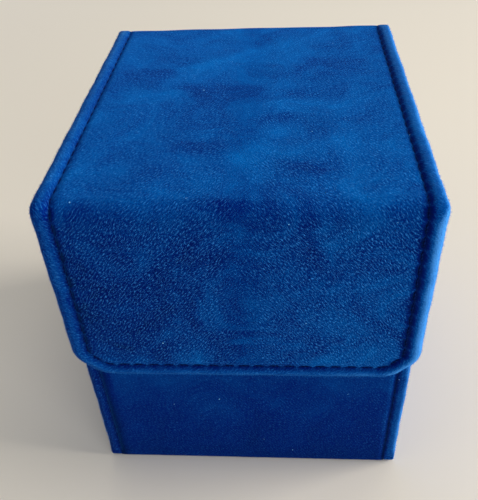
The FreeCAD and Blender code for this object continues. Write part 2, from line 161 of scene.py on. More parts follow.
@dataclass(frozen=True)
class Suede:
    """Polyester microsuede, sanded to a short nap that shows every stroke of a hand.

    It gives the eye a dull face with a pale bloom at its edges, broad patches where the nap lies one
    way or the other, and a grain of fibre tips that lean across it. Its colour also carries painted
    light and shade: tips painted pale as if they caught the light, a painted highlight along edges
    that face the light, and painted shade in the seams and where the box is shaded.
    """

    name: str = "microsuede_sanded_nap"
    # the first colour is painted shade, darker than the deep side of the nap, for seams and shaded places
    painted_shade_colour: str = "#000F3C"
    deep: str = "#00196B"
    pale: str = "#0075CC"
    tip: str = "#3F9BF2"
    # the rim colour is a painted highlight along rolled edges that face the light
    rim: str = "#4E9FF2"
    lint: str = "#86CCFF"
    bloom: str = "#2A8CFF"
    sheen: float = 0.45
    sheen_roughness: float = 0.35
    patch: float = 17 * MM
    whorl: float = 11 * MM
    swerve: float = 2.6 * MM
    grain: float = 0.25 * MM
    # fibre tips are finer than a pixel, so they are drawn as tufts, many times as coarse
    tip_length: float = 0.85 * MM
    tip_width: float = 0.17 * MM
    tip_leans: tuple[float, float] = (130.0, 52.0)
    lean_change: tuple[float, float] = (0.2, 0.9)
    # the ground weave shows through the nap as faint slanting lines
    twill: float = 0.8 * MM
    twill_share: float = 0.07
    lint_apart: float = 6 * MM
    lint_radius: float = 0.17 * MM
    lint_share: float = 0.5
    relief: float = 0.14 * MM
    # what makes up the tone, which runs from the deep side of the nap at 0 to the pale side at 1; the lay
    # of the nap and the painted light and shade are part of it, and below 0 it turns to painted shade
    even_tone: float = 0.3
    patch_tone: float = 0.75
    tip_tone: float = 0.35
    grain_tone: float = 0.65
    nap_tone: float = 0.22
    # share of the painted light and shade, from the seams and the rolled edges, in the tone
    painted_shading_tone: float = 0.34
    painted_shade_depth: float = -0.5
    # painted light: fibre tips that stand above the nap, painted pale as if they caught the light, and a
    # painted highlight, made patchy by the pile, along an edge that faces the light
    caught: tuple[float, float] = (0.54, 0.72)
    caught_most: float = 0.42
    highlight_grain: float = 1.6
    painted_highlight: tuple[float, float] = (0.4, 1.25)
    painted_highlight_most: float = 0.8

    def build(self) -> bpy.types.Material:
        """Colour the nap by its tone and painted shade, paint highlights on its tips and lit edges, add lint.

        Returns:
            The material.
        """
        material, tree = new_material(self.name)
        cloth = add_node(tree, "UVMap", uv_map=CLOTH_UV).outputs[0]
        patch = add_node(tree, "TexNoise", {"Vector": cloth, "Scale": 1 / self.patch, "Detail": 5.0,
                                            "Roughness": 0.7, "Distortion": 0.9}).outputs[0]
        tip = self.tips(tree, cloth, patch)
        grain = add_node(tree, "TexNoise", {"Vector": cloth, "Scale": 1 / self.grain,
                                            "Detail": 1.0}).outputs[0]
        lay, ruffle, worn = (add_node(tree, "Attribute", attribute_name=mark).outputs["Fac"]
                             for mark in ("nap", "ruffle", "worn"))

        pile = 0.0
        for source, share in ((patch, self.patch_tone), (tip, self.tip_tone), (grain, self.grain_tone)):
            centred = add_node(tree, "Math", {0: source, 1: 0.5}, operation="SUBTRACT").outputs[0]
            pile = add_node(tree, "Math", {0: centred, 1: share, 2: pile},
                            operation="MULTIPLY_ADD").outputs[0]
        tone = self.even_tone
        for source, share in ((pile, ruffle), (lay, self.nap_tone), (worn, self.painted_shading_tone)):
            tone = add_node(tree, "Math", {0: source, 1: share, 2: tone},
                            operation="MULTIPLY_ADD").outputs[0]
        # painted shade: below a tone of 0 the colour goes over to the painted shade colour
        painted_shade = add_node(tree, "MapRange", {"Value": tone, "From Min": 0.0,
                                             "From Max": self.painted_shade_depth}).outputs[0]
        lit = add_node(tree, "MapRange", {"Value": tip, "From Min": self.caught[0],
                                          "From Max": self.caught[1], "To Max": self.caught_most}).outputs[0]
        # tips inside deep painted shade get no painted glint
        unshaded = add_node(tree, "Math", {0: worn, 1: 1.0}, operation="ADD", use_clamp=True).outputs[0]
        for share in (unshaded, ruffle):
            lit = add_node(tree, "Math", {0: lit, 1: share}, operation="MULTIPLY").outputs[0]
        # painted highlight along edges that face the light, made patchy by the pile
        highlight_grain = add_node(tree, "Math", {0: pile, 1: self.highlight_grain, 2: worn},
                          operation="MULTIPLY_ADD").outputs[0]
        painted_highlight = add_node(tree, "MapRange", {
            "Value": highlight_grain, "From Min": self.painted_highlight[0], "From Max": self.painted_highlight[1],
            "To Max": self.painted_highlight_most}).outputs[0]
        colour = linear(self.deep)
        for share, layer in ((tone, self.pale), (painted_shade, self.painted_shade_colour), (lit, self.tip), (painted_highlight, self.rim),
                             (self.specks(tree, cloth), self.lint)):
            colour = add_node(tree, "Mix", {"Factor": share, "A": colour, "B": linear(layer)},
                              data_type="RGBA").outputs[2]

        height = add_node(tree, "Math", {0: tip, 1: grain}, operation="ADD").outputs[0]
        bump = add_node(tree, "Bump", {"Strength": 0.8, "Distance": self.relief, "Height": height}).outputs[0]
        face = add_node(tree, "BsdfPrincipled", {
            "Base Color": colour, "Roughness": 0.95, "IOR": 1.45, "Specular IOR Level": 0.02, "Normal": bump,
            "Sheen Weight": self.sheen, "Sheen Roughness": self.sheen_roughness,
            "Sheen Tint": linear(self.bloom)})
        add_node(tree, "OutputMaterial", {"Surface": face.outputs[0]})
        return material

    def tips(self, tree: bpy.types.NodeTree, cloth: bpy.types.NodeSocket,
             patch: bpy.types.NodeSocket) -> bpy.types.NodeSocket:
        """Fibre tips that swerve round whorls and lean one way in one patch and another way in the next.

        Each lean is noise drawn out along it, over a wave for the lines of the twill.

        Args:
            tree: Node tree of the material.
            cloth: Flat cloth coordinates in metres.
            patch: Noise of the patches, which moves the change from one lean to the other.

        Returns:
            Noise from 0 to 1.
        """
        whorl = add_node(tree, "TexNoise", {"Vector": cloth, "Scale": 1 / self.whorl,
                                            "Detail": 1.0}).outputs[1]
        combed = add_node(tree, "VectorMath", {0: whorl, 1: (self.swerve, self.swerve, 0.0), 2: cloth},
                          operation="MULTIPLY_ADD").outputs[0]
        scale = (1 / self.tip_length, 1 / self.tip_width, 1.0)
        leans = []
        for angle in self.tip_leans:
            turned = add_node(tree, "Mapping", {"Vector": combed,
                                                "Rotation": (0.0, 0.0, -math.radians(angle))}).outputs[0]
            drawn = add_node(tree, "Mapping", {"Vector": turned, "Scale": scale}).outputs[0]
            noise = add_node(tree, "TexNoise", {"Vector": drawn, "Scale": 1.0, "Detail": 2.0}).outputs[0]
            lines = add_node(tree, "TexWave", {
                "Vector": turned, "Scale": WAVE_PERIOD / self.twill, "Distortion": 5.0, "Detail": 2.0},
                bands_direction="Y").outputs[1]
            lean = add_node(tree, "Mix", {"Factor": self.twill_share, "A": noise, "B": lines})
            leans.append(lean.outputs[0])
        across = add_node(tree, "SeparateXYZ", {0: cloth}).outputs[0]
        place = add_node(tree, "Math", {0: patch, 1: self.patch, 2: across},
                         operation="MULTIPLY_ADD").outputs[0]
        start, stop = (share * self.patch for share in self.lean_change)
        chosen = add_node(tree, "MapRange", {"Value": place, "From Min": start, "From Max": stop}).outputs[0]
        return add_node(tree, "Mix", {"Factor": chosen, "A": leans[0], "B": leans[1]}).outputs[0]

    def specks(self, tree: bpy.types.NodeTree, cloth: bpy.types.NodeSocket) -> bpy.types.NodeSocket:
        """Lint: a dot at the point of each cell, kept in only a share of the cells.

        Args:
            tree: Node tree of the material.
            cloth: Flat cloth coordinates in metres.

        Returns:
            1 on a speck and 0 elsewhere.
        """
        cells = add_node(tree, "TexVoronoi", {"Vector": cloth, "Scale": 1 / self.lint_apart}).outputs
        near, kept = (add_node(tree, "Math", {0: source, 1: limit}, operation="LESS_THAN").outputs[0]
                      for source, limit in ((cells["Distance"], self.lint_radius / self.lint_apart),
                                            (cells["Color"], self.lint_share)))
        return add_node(tree, "Math", {0: near, 1: kept}, operation="MULTIPLY").outputs[0]


@dataclass(frozen=True)
class LiningCloth:
    """Brushed polyester lining, glued down flat: a fine weave under a thin dull nap."""

    name: str = "brushed_lining_cloth"
    deep: str = "#0B1B36"
    pale: str = "#1D3966"
    bloom: str = "#8DA9CF"
    thread_apart: float = 0.55 * MM
    patch: float = 24 * MM
    weave_tone: float = 0.45
    relief: float = 0.08 * MM

    def build(self) -> bpy.types.Material:
        """Cross two waves for the weave and let noise break them up.

        Returns:
            The material.
        """
        material, tree = new_material(self.name)
        cloth = add_node(tree, "UVMap", uv_map=CLOTH_UV).outputs[0]
        waves = [add_node(tree, "TexWave", {"Vector": cloth, "Scale": WAVE_PERIOD / self.thread_apart,
                                            "Distortion": 1.2, "Detail": 1.0}, bands_direction=way).outputs[1]
                 for way in ("X", "Y")]
        weave = add_node(tree, "Math", {0: waves[0], 1: waves[1]}, operation="MULTIPLY").outputs[0]
        patch = add_node(tree, "TexNoise", {"Vector": cloth, "Scale": 1 / self.patch,
                                            "Detail": 6.0}).outputs[0]
        tone = add_node(tree, "Math", {0: weave, 1: self.weave_tone, 2: patch},
                        operation="MULTIPLY_ADD").outputs[0]
        colour = add_node(tree, "Mix", {"Factor": tone, "A": linear(self.deep), "B": linear(self.pale)},
                          data_type="RGBA").outputs[2]
        bump = add_node(tree, "Bump", {"Strength": 0.4, "Distance": self.relief, "Height": weave}).outputs[0]
        face = add_node(tree, "BsdfPrincipled", {
            "Base Color": colour, "Roughness": 0.9, "IOR": 1.45, "Specular IOR Level": 0.15, "Normal": bump,
            "Sheen Weight": 0.15, "Sheen Roughness": 0.5, "Sheen Tint": linear(self.bloom)})
        add_node(tree, "OutputMaterial", {"Surface": face.outputs[0]})
        return material


@dataclass(frozen=True)
class Thread:
    """Twisted polyester sewing thread: plies that wind round each stitch, with a faint gloss."""

    name: str = "polyester_thread"
    dark: str = "#021244"
    light: str = "#08266A"
    ply: float = 0.55 * MM
    relief: float = 0.06 * MM

    def build(self) -> bpy.types.Material:
        """Draw slanting bands along each stitch for the plies.

        Returns:
            The material.
        """
        material, tree = new_material(self.name)
        cloth = add_node(tree, "UVMap", uv_map=CLOTH_UV).outputs[0]
        plies = add_node(tree, "TexWave", {"Vector": cloth, "Scale": WAVE_PERIOD / self.ply,
                                           "Distortion": 0.4}, bands_direction="DIAGONAL").outputs[1]
        colour = add_node(tree, "Mix", {"Factor": plies, "A": linear(self.dark), "B": linear(self.light)},
                          data_type="RGBA").outputs[2]
        bump = add_node(tree, "Bump", {"Strength": 0.6, "Distance": self.relief, "Height": plies}).outputs[0]
        face = add_node(tree, "BsdfPrincipled", {"Base Color": colour, "Roughness": 0.7, "IOR": 1.45,
                                                 "Specular IOR Level": 0.03, "Normal": bump})
        add_node(tree, "OutputMaterial", {"Surface": face.outputs[0]})
        return material


@dataclass(frozen=True)
class Greyboard:
    """Pressed waste-paper board: grey-brown, flecked with fibres, quite dull."""

    name: str = "pressed_greyboard"
    dark: str = "#6E675D"
    light: str = "#A79F92"
    fleck: float = 1.4 * MM
    fleck_range: tuple[float, float] = (0.3, 0.7)
    relief: float = 0.1 * MM

    def build(self) -> bpy.types.Material:
        """Fleck the board with two sizes of noise.

        Returns:
            The material.
        """
        material, tree = new_material(self.name)
        place = add_node(tree, "TexCoord").outputs["Object"]
        fleck = add_node(tree, "TexNoise", {"Vector": place, "Scale": 1 / self.fleck, "Detail": 8.0,
                                            "Roughness": 0.7}).outputs[0]
        low, high = self.fleck_range
        tone = add_node(tree, "MapRange", {"Value": fleck, "From Min": low, "From Max": high}).outputs[0]
        colour = add_node(tree, "Mix", {"Factor": tone, "A": linear(self.dark), "B": linear(self.light)},
                          data_type="RGBA").outputs[2]
        bump = add_node(tree, "Bump", {"Strength": 0.3, "Distance": self.relief, "Height": fleck}).outputs[0]
        face = add_node(tree, "BsdfPrincipled", {"Base Color": colour, "Roughness": 0.88, "IOR": 1.45,
                                                 "Normal": bump})
        add_node(tree, "OutputMaterial", {"Surface": face.outputs[0]})
        return material


@dataclass(frozen=True)
class Nickel:
    """Nickel plating on a disc magnet: warm grey metal, bright, with faint tumbling marks."""

    name: str = "nickel_plating"
    colour: str = "#C9C3B6"
    mark: float = 0.8 * MM
    polish: tuple[float, float] = (0.16, 0.36)

    def build(self) -> bpy.types.Material:
        """Vary the roughness with fine noise.

        Returns:
            The material.
        """
        material, tree = new_material(self.name)
        place = add_node(tree, "TexCoord").outputs["Object"]
        marks = add_node(tree, "TexNoise", {"Vector": place, "Scale": 1 / self.mark,
                                            "Detail": 6.0}).outputs[0]
        rough = add_node(tree, "MapRange", {"Value": marks, "To Min": self.polish[0],
                                            "To Max": self.polish[1]}).outputs[0]
        face = add_node(tree, "BsdfPrincipled", {"Base Color": linear(self.colour), "Metallic": 1.0,
                                                 "Roughness": rough})
        add_node(tree, "OutputMaterial", {"Surface": face.outputs[0]})
        return material


@dataclass(frozen=True)
class Line:
    """A line in a plane, as points, unit headings and the distance along it."""

    points: Array
    headings: Array
    along: Array

    @classmethod
    def rounded(cls, corners: list[tuple[float, float]], radii: list[float], spacing: float) -> "Line":
        """Join straight runs by arcs.

        A corner that turns by an angle takes its radius times the tangent of half that angle from
        each run, and its arc turns the heading evenly from the first run to the second.

        Args:
            corners: Ends and corners of the line.
            radii: Radius at each corner between the ends; 0 keeps it sharp.
            spacing: Distance between points on the runs; arcs get at least eight.

        Returns:
            The line.
        """
        knots = np.array(corners, float)
        points, headings, start = [], [], knots[0]
        for index in range(1, len(knots)):
            ahead = knots[index] - knots[index - 1]
            ahead = ahead / np.linalg.norm(ahead)
            turn, radius = 0.0, 0.0
            if index < len(knots) - 1:
                after = knots[index + 1] - knots[index]
                turn = math.atan2(ahead[0] * after[1] - ahead[1] * after[0], float(ahead @ after))
                radius = radii[index - 1]
            stop = knots[index] - ahead * radius * math.tan(abs(turn) / 2)
            count = max(2, math.ceil(np.linalg.norm(stop - start) / spacing) + 1)
            points.append(start + np.linspace(0, 1, count)[:, None] * (stop - start))
            headings.append(np.repeat(ahead[None], count, axis=0))
            if radius > 0:
                angles = np.linspace(0, turn, max(9, math.ceil(abs(turn) * radius / spacing) + 1))
                side = math.copysign(1.0, turn)
                cos, sin = np.cos(angles), np.sin(angles)
                heading = np.stack((ahead[0] * cos - ahead[1] * sin, ahead[0] * sin + ahead[1] * cos), 1)
                left = np.stack((-heading[:, 1], heading[:, 0]), 1)
                points.append(stop + radius * side * (left[0] - left))
                headings.append(heading)
                start = points[-1][-1]
            else:
                start = stop
        line, heading = np.concatenate(points), np.concatenate(headings)
        step = np.linalg.norm(np.diff(line, axis=0), axis=1)
        kept = np.concatenate(([True], step > SAME_POINT))
        return cls(line[kept], heading[kept], np.concatenate(([0.0], np.cumsum(step)))[kept])

    @property
    def length(self) -> float:
        """Length of the whole line."""
        return float(self.along[-1])

    def at(self, along: Array) -> Array:
        """Points at given distances along the line."""
        return np.stack([np.interp(along, self.along, self.points[:, i]) for i in (0, 1)], -1)

    def heading(self, along: Array) -> Array:
        """Unit headings at given distances along the line."""
        found = np.stack([np.interp(along, self.along, self.headings[:, i]) for i in (0, 1)], -1)
        return found / np.linalg.norm(found, axis=-1, keepdims=True)


@dataclass(frozen=True)
class Section:
    """A section line that wraps a flat sheet: the line's right-hand side faces out of the box."""

    line: Line
    plane: Plane = Plane.YZ
    origin: float = 0.0

    def out(self, s: Array) -> Array:
        """Outward unit vectors at distances s along the sheet: the heading turned right."""
        heading = self.line.heading(np.asarray(s) + self.origin)
        return self.lift(np.zeros(heading.shape[:-1]), heading[..., 1], -heading[..., 0])

    def place(self, a: Array, s: Array, h: Array) -> Array:
        """Wrap flat points round the box.

        Args:
            a: Distance across the sheet.
            s: Distance along the sheet.
            h: Height out of the sheet.

        Returns:
            Points in space: the section's point at s, moved out by h and across by a.
        """
        a, s, h = np.broadcast_arrays(a, s, h)
        point = self.line.at(s + self.origin)
        return self.lift(a, point[..., 0], point[..., 1]) + h[..., None] * self.out(s)

    def lift(self, a: Array, first: Array, second: Array) -> Array:
        """Put plane coordinates and the distance across them into X, Y and Z order."""
        order = (a, first, second) if self.plane is Plane.YZ else (first, a, second)
        return np.stack(np.broadcast_arrays(*order), -1)


@dataclass
class Surface:
    """Points, quads and flat cloth coordinates of a piece before it becomes a mesh."""

    points: Array
    quads: Array
    uv: Array
    marks: dict[str, Array] = field(default_factory=dict)

    @classmethod
    def tiles(cls, points: Array, uv: Array, **marks: Array) -> "Surface":
        """Cover one or more grids of points with quads.

        Args:
            points: Grids as tiles, rows, columns and X, Y, Z; a single grid may leave out tiles.
            uv: Flat cloth coordinates of the same points.
            **marks: Named values of the same points.

        Returns:
            The surface.
        """
        rows, columns = points.shape[-3], points.shape[-2]
        corner = (np.arange(rows - 1)[:, None] * columns + np.arange(columns - 1)).ravel()
        tile = np.stack((corner, corner + columns, corner + columns + 1, corner + 1), 1)
        count = points.size // (rows * columns * 3)
        quads = (np.arange(count)[:, None, None] * rows * columns + tile).reshape(-1, 4)
        shape = points.shape[:-1]
        flat = np.broadcast_to(uv, (*shape, 2)).reshape(-1, 2)
        given = {name: np.broadcast_to(mark, shape).ravel() for name, mark in marks.items()}
        return cls(points.reshape(-1, 3), quads, flat[quads], given)

    def joined(self, other: "Surface") -> "Surface":
        """This surface and another as one."""
        marks = {name: np.concatenate((mark, other.marks[name])) for name, mark in self.marks.items()}
        return Surface(np.concatenate((self.points, other.points)),
                       np.concatenate((self.quads, other.quads + len(self.points))),
                       np.concatenate((self.uv, other.uv)), marks)

    def welded(self, closest: float = 1e-7) -> "Surface":
        """Make points that coincide one.

        Args:
            closest: Grid that the points are rounded to before they are compared, in metres.

        Returns:
            The same surface with fewer points.
        """
        _, first, back = np.unique(np.round(self.points / closest).astype(np.int64), axis=0,
                                   return_index=True, return_inverse=True)
        marks = {name: mark[first] for name, mark in self.marks.items()}
        return Surface(self.points[first], back.ravel()[self.quads], self.uv, marks)

    def outward(self) -> "Surface":
        """Turn the quads of a closed surface so that they face out of it.

        Returns:
            The surface as it is where its volume, summed over the quads, is positive, or else reversed.
        """
        a, b, c, d = (self.points[self.quads[:, i]] for i in range(4))
        volume = (a * (np.cross(b, c) + np.cross(c, d))).sum()
        return self if volume > 0 else Surface(self.points, self.quads[:, ::-1], self.uv[:, ::-1], self.marks)

    def normals(self) -> Array:
        """Work out unit normals at the points.

        Returns:
            The area-weighted sum of the normals of the quads round each point, at unit length.
        """
        corner = self.points[self.quads]
        face = np.cross(corner[:, 2] - corner[:, 0], corner[:, 3] - corner[:, 1])
        total = np.zeros_like(self.points)
        np.add.at(total, self.quads.ravel(), np.repeat(face, 4, axis=0))
        return total / np.maximum(np.linalg.norm(total, axis=1, keepdims=True), NO_LENGTH)

    def thickened(self, thickness: float) -> "Surface":
        """Give an open sheet its thickness.

        The back is the face moved in along its normals, and every edge that only one quad uses
        gets a quad across to the back.

        Args:
            thickness: How far the back lies behind the face.

        Returns:
            The closed surface.
        """
        count = len(self.points)
        edges = np.stack((self.quads, np.roll(self.quads, -1, axis=1)), -1).reshape(-1, 2)
        keys = np.sort(edges, axis=1) @ np.array([count, 1])
        _, place, uses = np.unique(keys, return_inverse=True, return_counts=True)
        rim = edges[uses[place.ravel()] == 1]
        sides = np.stack((rim[:, 1], rim[:, 0], rim[:, 0] + count, rim[:, 1] + count), 1)
        flat = np.zeros((count, 2))
        flat[self.quads.ravel()] = self.uv.reshape(-1, 2)
        points = np.concatenate((self.points, self.points - thickness * self.normals()))
        quads = np.concatenate((self.quads, self.quads[:, ::-1] + count, sides))
        uv = np.concatenate((self.uv, self.uv[:, ::-1], flat[sides % count]))
        marks = {name: np.concatenate((mark, mark)) for name, mark in self.marks.items()}
        return Surface(points, quads, uv, marks)

    def as_object(self, name: str, material: bpy.types.Material) -> bpy.types.Object:
        """Put the surface into a new object.

        Corners that fell together at a pole are left out, so that quads there become triangles.

        Args:
            name: Name of the piece.
            material: Its finish.

        Returns:
            The object, smooth shaded, at the origin.
        """
        kept = self.quads != np.roll(self.quads, -1, axis=1)
        kept[kept.sum(1) < 3] = False
        sizes = kept.sum(1)
        sizes = sizes[sizes > 0]
        mesh = bpy.data.meshes.new(name)
        mesh.vertices.add(len(self.points))
        mesh.vertices.foreach_set("co", self.points.astype(np.float32).ravel())
        mesh.loops.add(int(sizes.sum()))
        mesh.loops.foreach_set("vertex_index", self.quads[kept].astype(np.int32))
        mesh.polygons.add(len(sizes))
        mesh.polygons.foreach_set("loop_start", np.concatenate(([0], np.cumsum(sizes)[:-1])).astype(np.int32))
        mesh.update(calc_edges=True)
        mesh.uv_layers.new(name=CLOTH_UV).data.foreach_set("uv", self.uv[kept].astype(np.float32).ravel())
        for mark, values in self.marks.items():
            mesh.attributes.new(mark, "FLOAT", "POINT").data.foreach_set("value", values.astype(np.float32))
        mesh.shade_smooth()
        mesh.materials.append(material)
        made = bpy.data.objects.new(name, mesh)
        bpy.context.scene.collection.objects.link(made)
        return made


@dataclass(frozen=True)
class Finishes:
    """The materials that the sub-assemblies share."""

    suede: bpy.types.Material
    edge: bpy.types.Material
    lining: bpy.types.Material
    thread: bpy.types.Material
    board: bpy.types.Material
    magnet: bpy.types.Material

    @classmethod
    def made(cls) -> "Finishes":
        """Build every finish once.

        Returns:
            The materials, with that of the rolled edges as suede whose nap stands open.
        """
        # the open nap of a rolled edge gives the eye a paler bloom along the outline
        edge = Suede("microsuede_rolled_edge", pale="#0A7EDA", bloom="#62ACFA", sheen=0.5,
                     sheen_roughness=0.3)
        kinds = (Suede(), edge, LiningCloth(), Thread(), Greyboard(), Nickel())
        return cls(*(kind.build() for kind in kinds))


@dataclass(frozen=True)
class Lip:
    """How a sheet turns down into a stitched seam: a quarter of an ellipse."""

    width: float = 2.1 * MM
    depth: float = 1.45 * MM
    # painted light by the seam: a bell of painted shade as wide as the shadow, and a painted highlight on the
    # brow
    shadow: float = 1.5 * MM
    dark: float = 0.5
    lit: float = 0.0
    brow: float = 0.55
    brow_width: float = 0.35
    steps: int = 9

    def insets(self) -> Array:
        """Distances from the seam at which the lip is sampled: the width times 1 less a cosine."""
        return self.width * (1 - np.cos(np.linspace(0, math.pi / 2, self.steps)))

    def drop(self, inset: Array) -> Array:
        """Height at a distance from the seam: the ellipse from minus the depth up to 0."""
        across = np.clip(1 - inset / self.width, 0, 1)
        return -self.depth * (1 - np.sqrt(1 - across ** 2))

    def worn(self, inset: Array) -> Array:
        """Painted light at a distance from the seam: a bell of painted shade, and a painted highlight on the
        brow.
        """
        brow = np.exp(-((inset / self.width - self.brow) / self.brow_width) ** 2)
        return self.lit * brow - self.dark * np.exp(-(inset / self.shadow) ** 2)


@dataclass(frozen=True)
class EdgeShading:
    """Painted light and shade round a rolled edge, lit from the right: pale on the right, shaded on the left.

    Places across the roll run from -1 at the seam to 1 at the outside.
    """

    even: float = 0.1
    # painted highlight on an outer shoulder that faces right, and along the top of a roll that faces left
    painted_highlight: float = 1.1
    painted_highlight_rise: float = 0.7
    crest_light: float = 0.24
    crest_light_place: float = -0.15
    crest_light_width: float = 0.4
    # painted shade on the outside of a roll that faces left
    shaded: float = 0.6
    # painted shade at the seam: level, slope and bend from a roll that faces left to one that faces right
    painted_shade: tuple[float, float, float] = (0.55, 0.55, 0.3)
    painted_shade_from: float = -0.3
    painted_shade_fall: float = 0.5
    painted_shade_loose: float = 0.45
    painted_shade_pulled: float = 0.6


@dataclass(frozen=True)
class Roll:
    """Section of a rolled edge: a superellipse whose four half axes differ, so it can be fuller on top."""

    inner: float
    outer: float
    below: float
    above: float
    power: float = 2.2
    square_power: float = 6.0
    sides: int = 32
    edge_shading: EdgeShading = EdgeShading()

    def outline(self) -> Array:
        """Points round the section.

        Returns:
            Cosine and sine, each raised to 2 over the power with its sign kept, times the half axis of
            that side: outer and above where they are positive, inner and below where they are negative.
        """
        lower_inner = -0.75 * math.pi
        angle = np.linspace(0, 2 * math.pi, self.sides + 1) + lower_inner
        wave = np.stack((np.cos(angle), np.sin(angle)), 1)
        unit = np.sign(wave) * np.abs(wave) ** (2 / self.power)
        unit[-1] = unit[0]
        return unit * np.where(unit > 0, (self.outer, self.above), (self.inner, self.below))

    def squared(self, share: Array) -> Array:
        """Points round the section at rows that are pressed square, each by its share of the way."""
        plain, square = self.outline(), replace(self, power=self.square_power).outline()
        return plain + share[:, None, None] * (square - plain)

    def rows(self, along: Array, nose: float, count: int = 9) -> tuple[Array, Array]:
        """Close both ends of a roll: rounded on its outer and upper side, and nearly square on the other two.

        Args:
            along: Distances along the roll, from 0.
            nose: How far the roll goes on past each end.
            count: Number of rows in a nose, with the end itself.

        Returns:
            Distances with those of both noses, and the size of the section at each of them and each of its
            points, in both directions: on a nose, superellipses of power 2 and of power 7.
        """
        share = np.sin(np.linspace(0, math.pi / 2, count))[1:]
        soft, square = ((1 - share ** power).clip(0)[:, None, None] ** (1 / power) for power in (2, 7))
        size = np.where(self.outline() > 0, soft, square)
        full = np.ones((len(along), *size.shape[1:]))
        return (np.concatenate((-share[::-1] * nose, along, along[-1] + share * nose)),
                np.concatenate((size[::-1], full, size)))

    def worn(self, hand: Array, pull: Array, crest: Array | float) -> Array:
        """Painted light and shade round the section.

        Args:
            hand: How far the roll's outer side faces right at each row, from -1 to 1.
            pull: How hard a stitch pulls at each row, which deepens the painted shade at the seam.
            crest: Where the painted highlight starts at each row, from -1 at the seam to 1 at the outside.

        Returns:
            A grid of rows and points round the section: on the right a painted highlight that rises from the
            crest to the outer shoulder, on the left a painted highlight along the top and painted shade that
            falls outwards, less painted shade that grows with the pull and towards the seam.
        """
        edge_shading, outline = self.edge_shading, self.outline()
        across = outline[:, 0] / np.where(outline[:, 0] > 0, self.outer, self.inner)
        shoulder = (2 * outline[:, 1] / self.above).clip(0, 1)
        right, left = ((1 + hand) / 2)[:, None], ((1 - hand) / 2)[:, None]
        start = np.broadcast_to(crest, hand.shape)[:, None]
        painted_highlight = edge_shading.painted_highlight * right ** 2 * ((across - start) / edge_shading.painted_highlight_rise).clip(0, 1) * shoulder
        crest_light = edge_shading.crest_light * left * np.exp(-((across - edge_shading.crest_light_place) / edge_shading.crest_light_width) ** 2)
        shaded = edge_shading.shaded * left * across.clip(0, 1)
        level, slope, bend = edge_shading.painted_shade
        held = (level + slope * hand + bend * hand ** 2) * (edge_shading.painted_shade_loose + edge_shading.painted_shade_pulled * pull)
        painted_shade = held[:, None] * ((edge_shading.painted_shade_from - across) / edge_shading.painted_shade_fall).clip(0, 1)
        return edge_shading.even + painted_highlight + crest_light - shaded - painted_shade


@dataclass(frozen=True)
class Stitching:
    """A row of lockstitches: short arched capsules of thread that dive into the seam at both ends."""

    pitch: float = 4.0 * MM
    length: float = 3.3 * MM
    radius: float = 0.3 * MM
    dive: float = 0.5 * MM
    bridge: float = 0.6 * MM
    sides: int = 6
    rings: int = 7

    def middles(self, total: float) -> Array:
        """Middles of the stitches on a seam of a given length, the same distance from both ends."""
        count = max(1, int((total - self.length) / self.pitch))
        return total / 2 + (np.arange(count) - (count - 1) / 2) * self.pitch

    def pull(self, along: Array, total: float) -> Array:
        """How hard the thread pulls the cloth down along a seam.

        Args:
            along: Distances along the seam.
            total: Length of the seam.

        Returns:
            1 under a stitch, less a bell that brings it down to 0 at the middle of each gap.
        """
        share = (along - self.middles(total)[0]) / self.pitch
        gap = np.abs(share - np.floor(share) - 0.5) * self.pitch
        return 1 - np.exp(-(gap / self.bridge) ** 2)

    def row(self, total: float, guide: Callable[[Array], tuple[Array, Array]],
            skip: Callable[[Array], Array] | None = None) -> Surface:
        """Lay stitches along a seam.

        Ring centres follow the seam and sink by the dive times the fourth power of the share of the
        half length; ring radii follow a capsule.

        Args:
            total: Length of the seam.
            guide: Gives seam points and outward vectors at distances along the seam.
            skip: Tells which stitch middles are left out.

        Returns:
            All stitches of the row.
        """
        middles = self.middles(total)
        if skip is not None:
            middles = middles[~skip(middles)]
        share = np.sin(np.linspace(-math.pi / 2, math.pi / 2, self.rings))
        along = middles[:, None] + share * self.length / 2
        points, out = guide(along)
        nudge = 0.02 * MM
        ahead = guide(along + nudge)[0] - guide(along - nudge)[0]
        ahead = ahead / np.linalg.norm(ahead, axis=-1, keepdims=True)
        side = np.cross(ahead, out)
        centre = points - out * (self.dive * share ** 4)[:, None]
        thick = self.radius * np.sqrt(np.clip(1 - share ** 6, 0, 1))
        angle = np.linspace(0, 2 * math.pi, self.sides + 1)
        ring = (np.cos(angle)[:, None] * side[:, :, None] + np.sin(angle)[:, None] * out[:, :, None])
        grid = centre[:, :, None] + thick[:, None, None] * ring
        uv = np.stack(np.broadcast_arrays(along[:, :, None], angle * self.radius), -1)
        return Surface.tiles(grid, uv).welded()


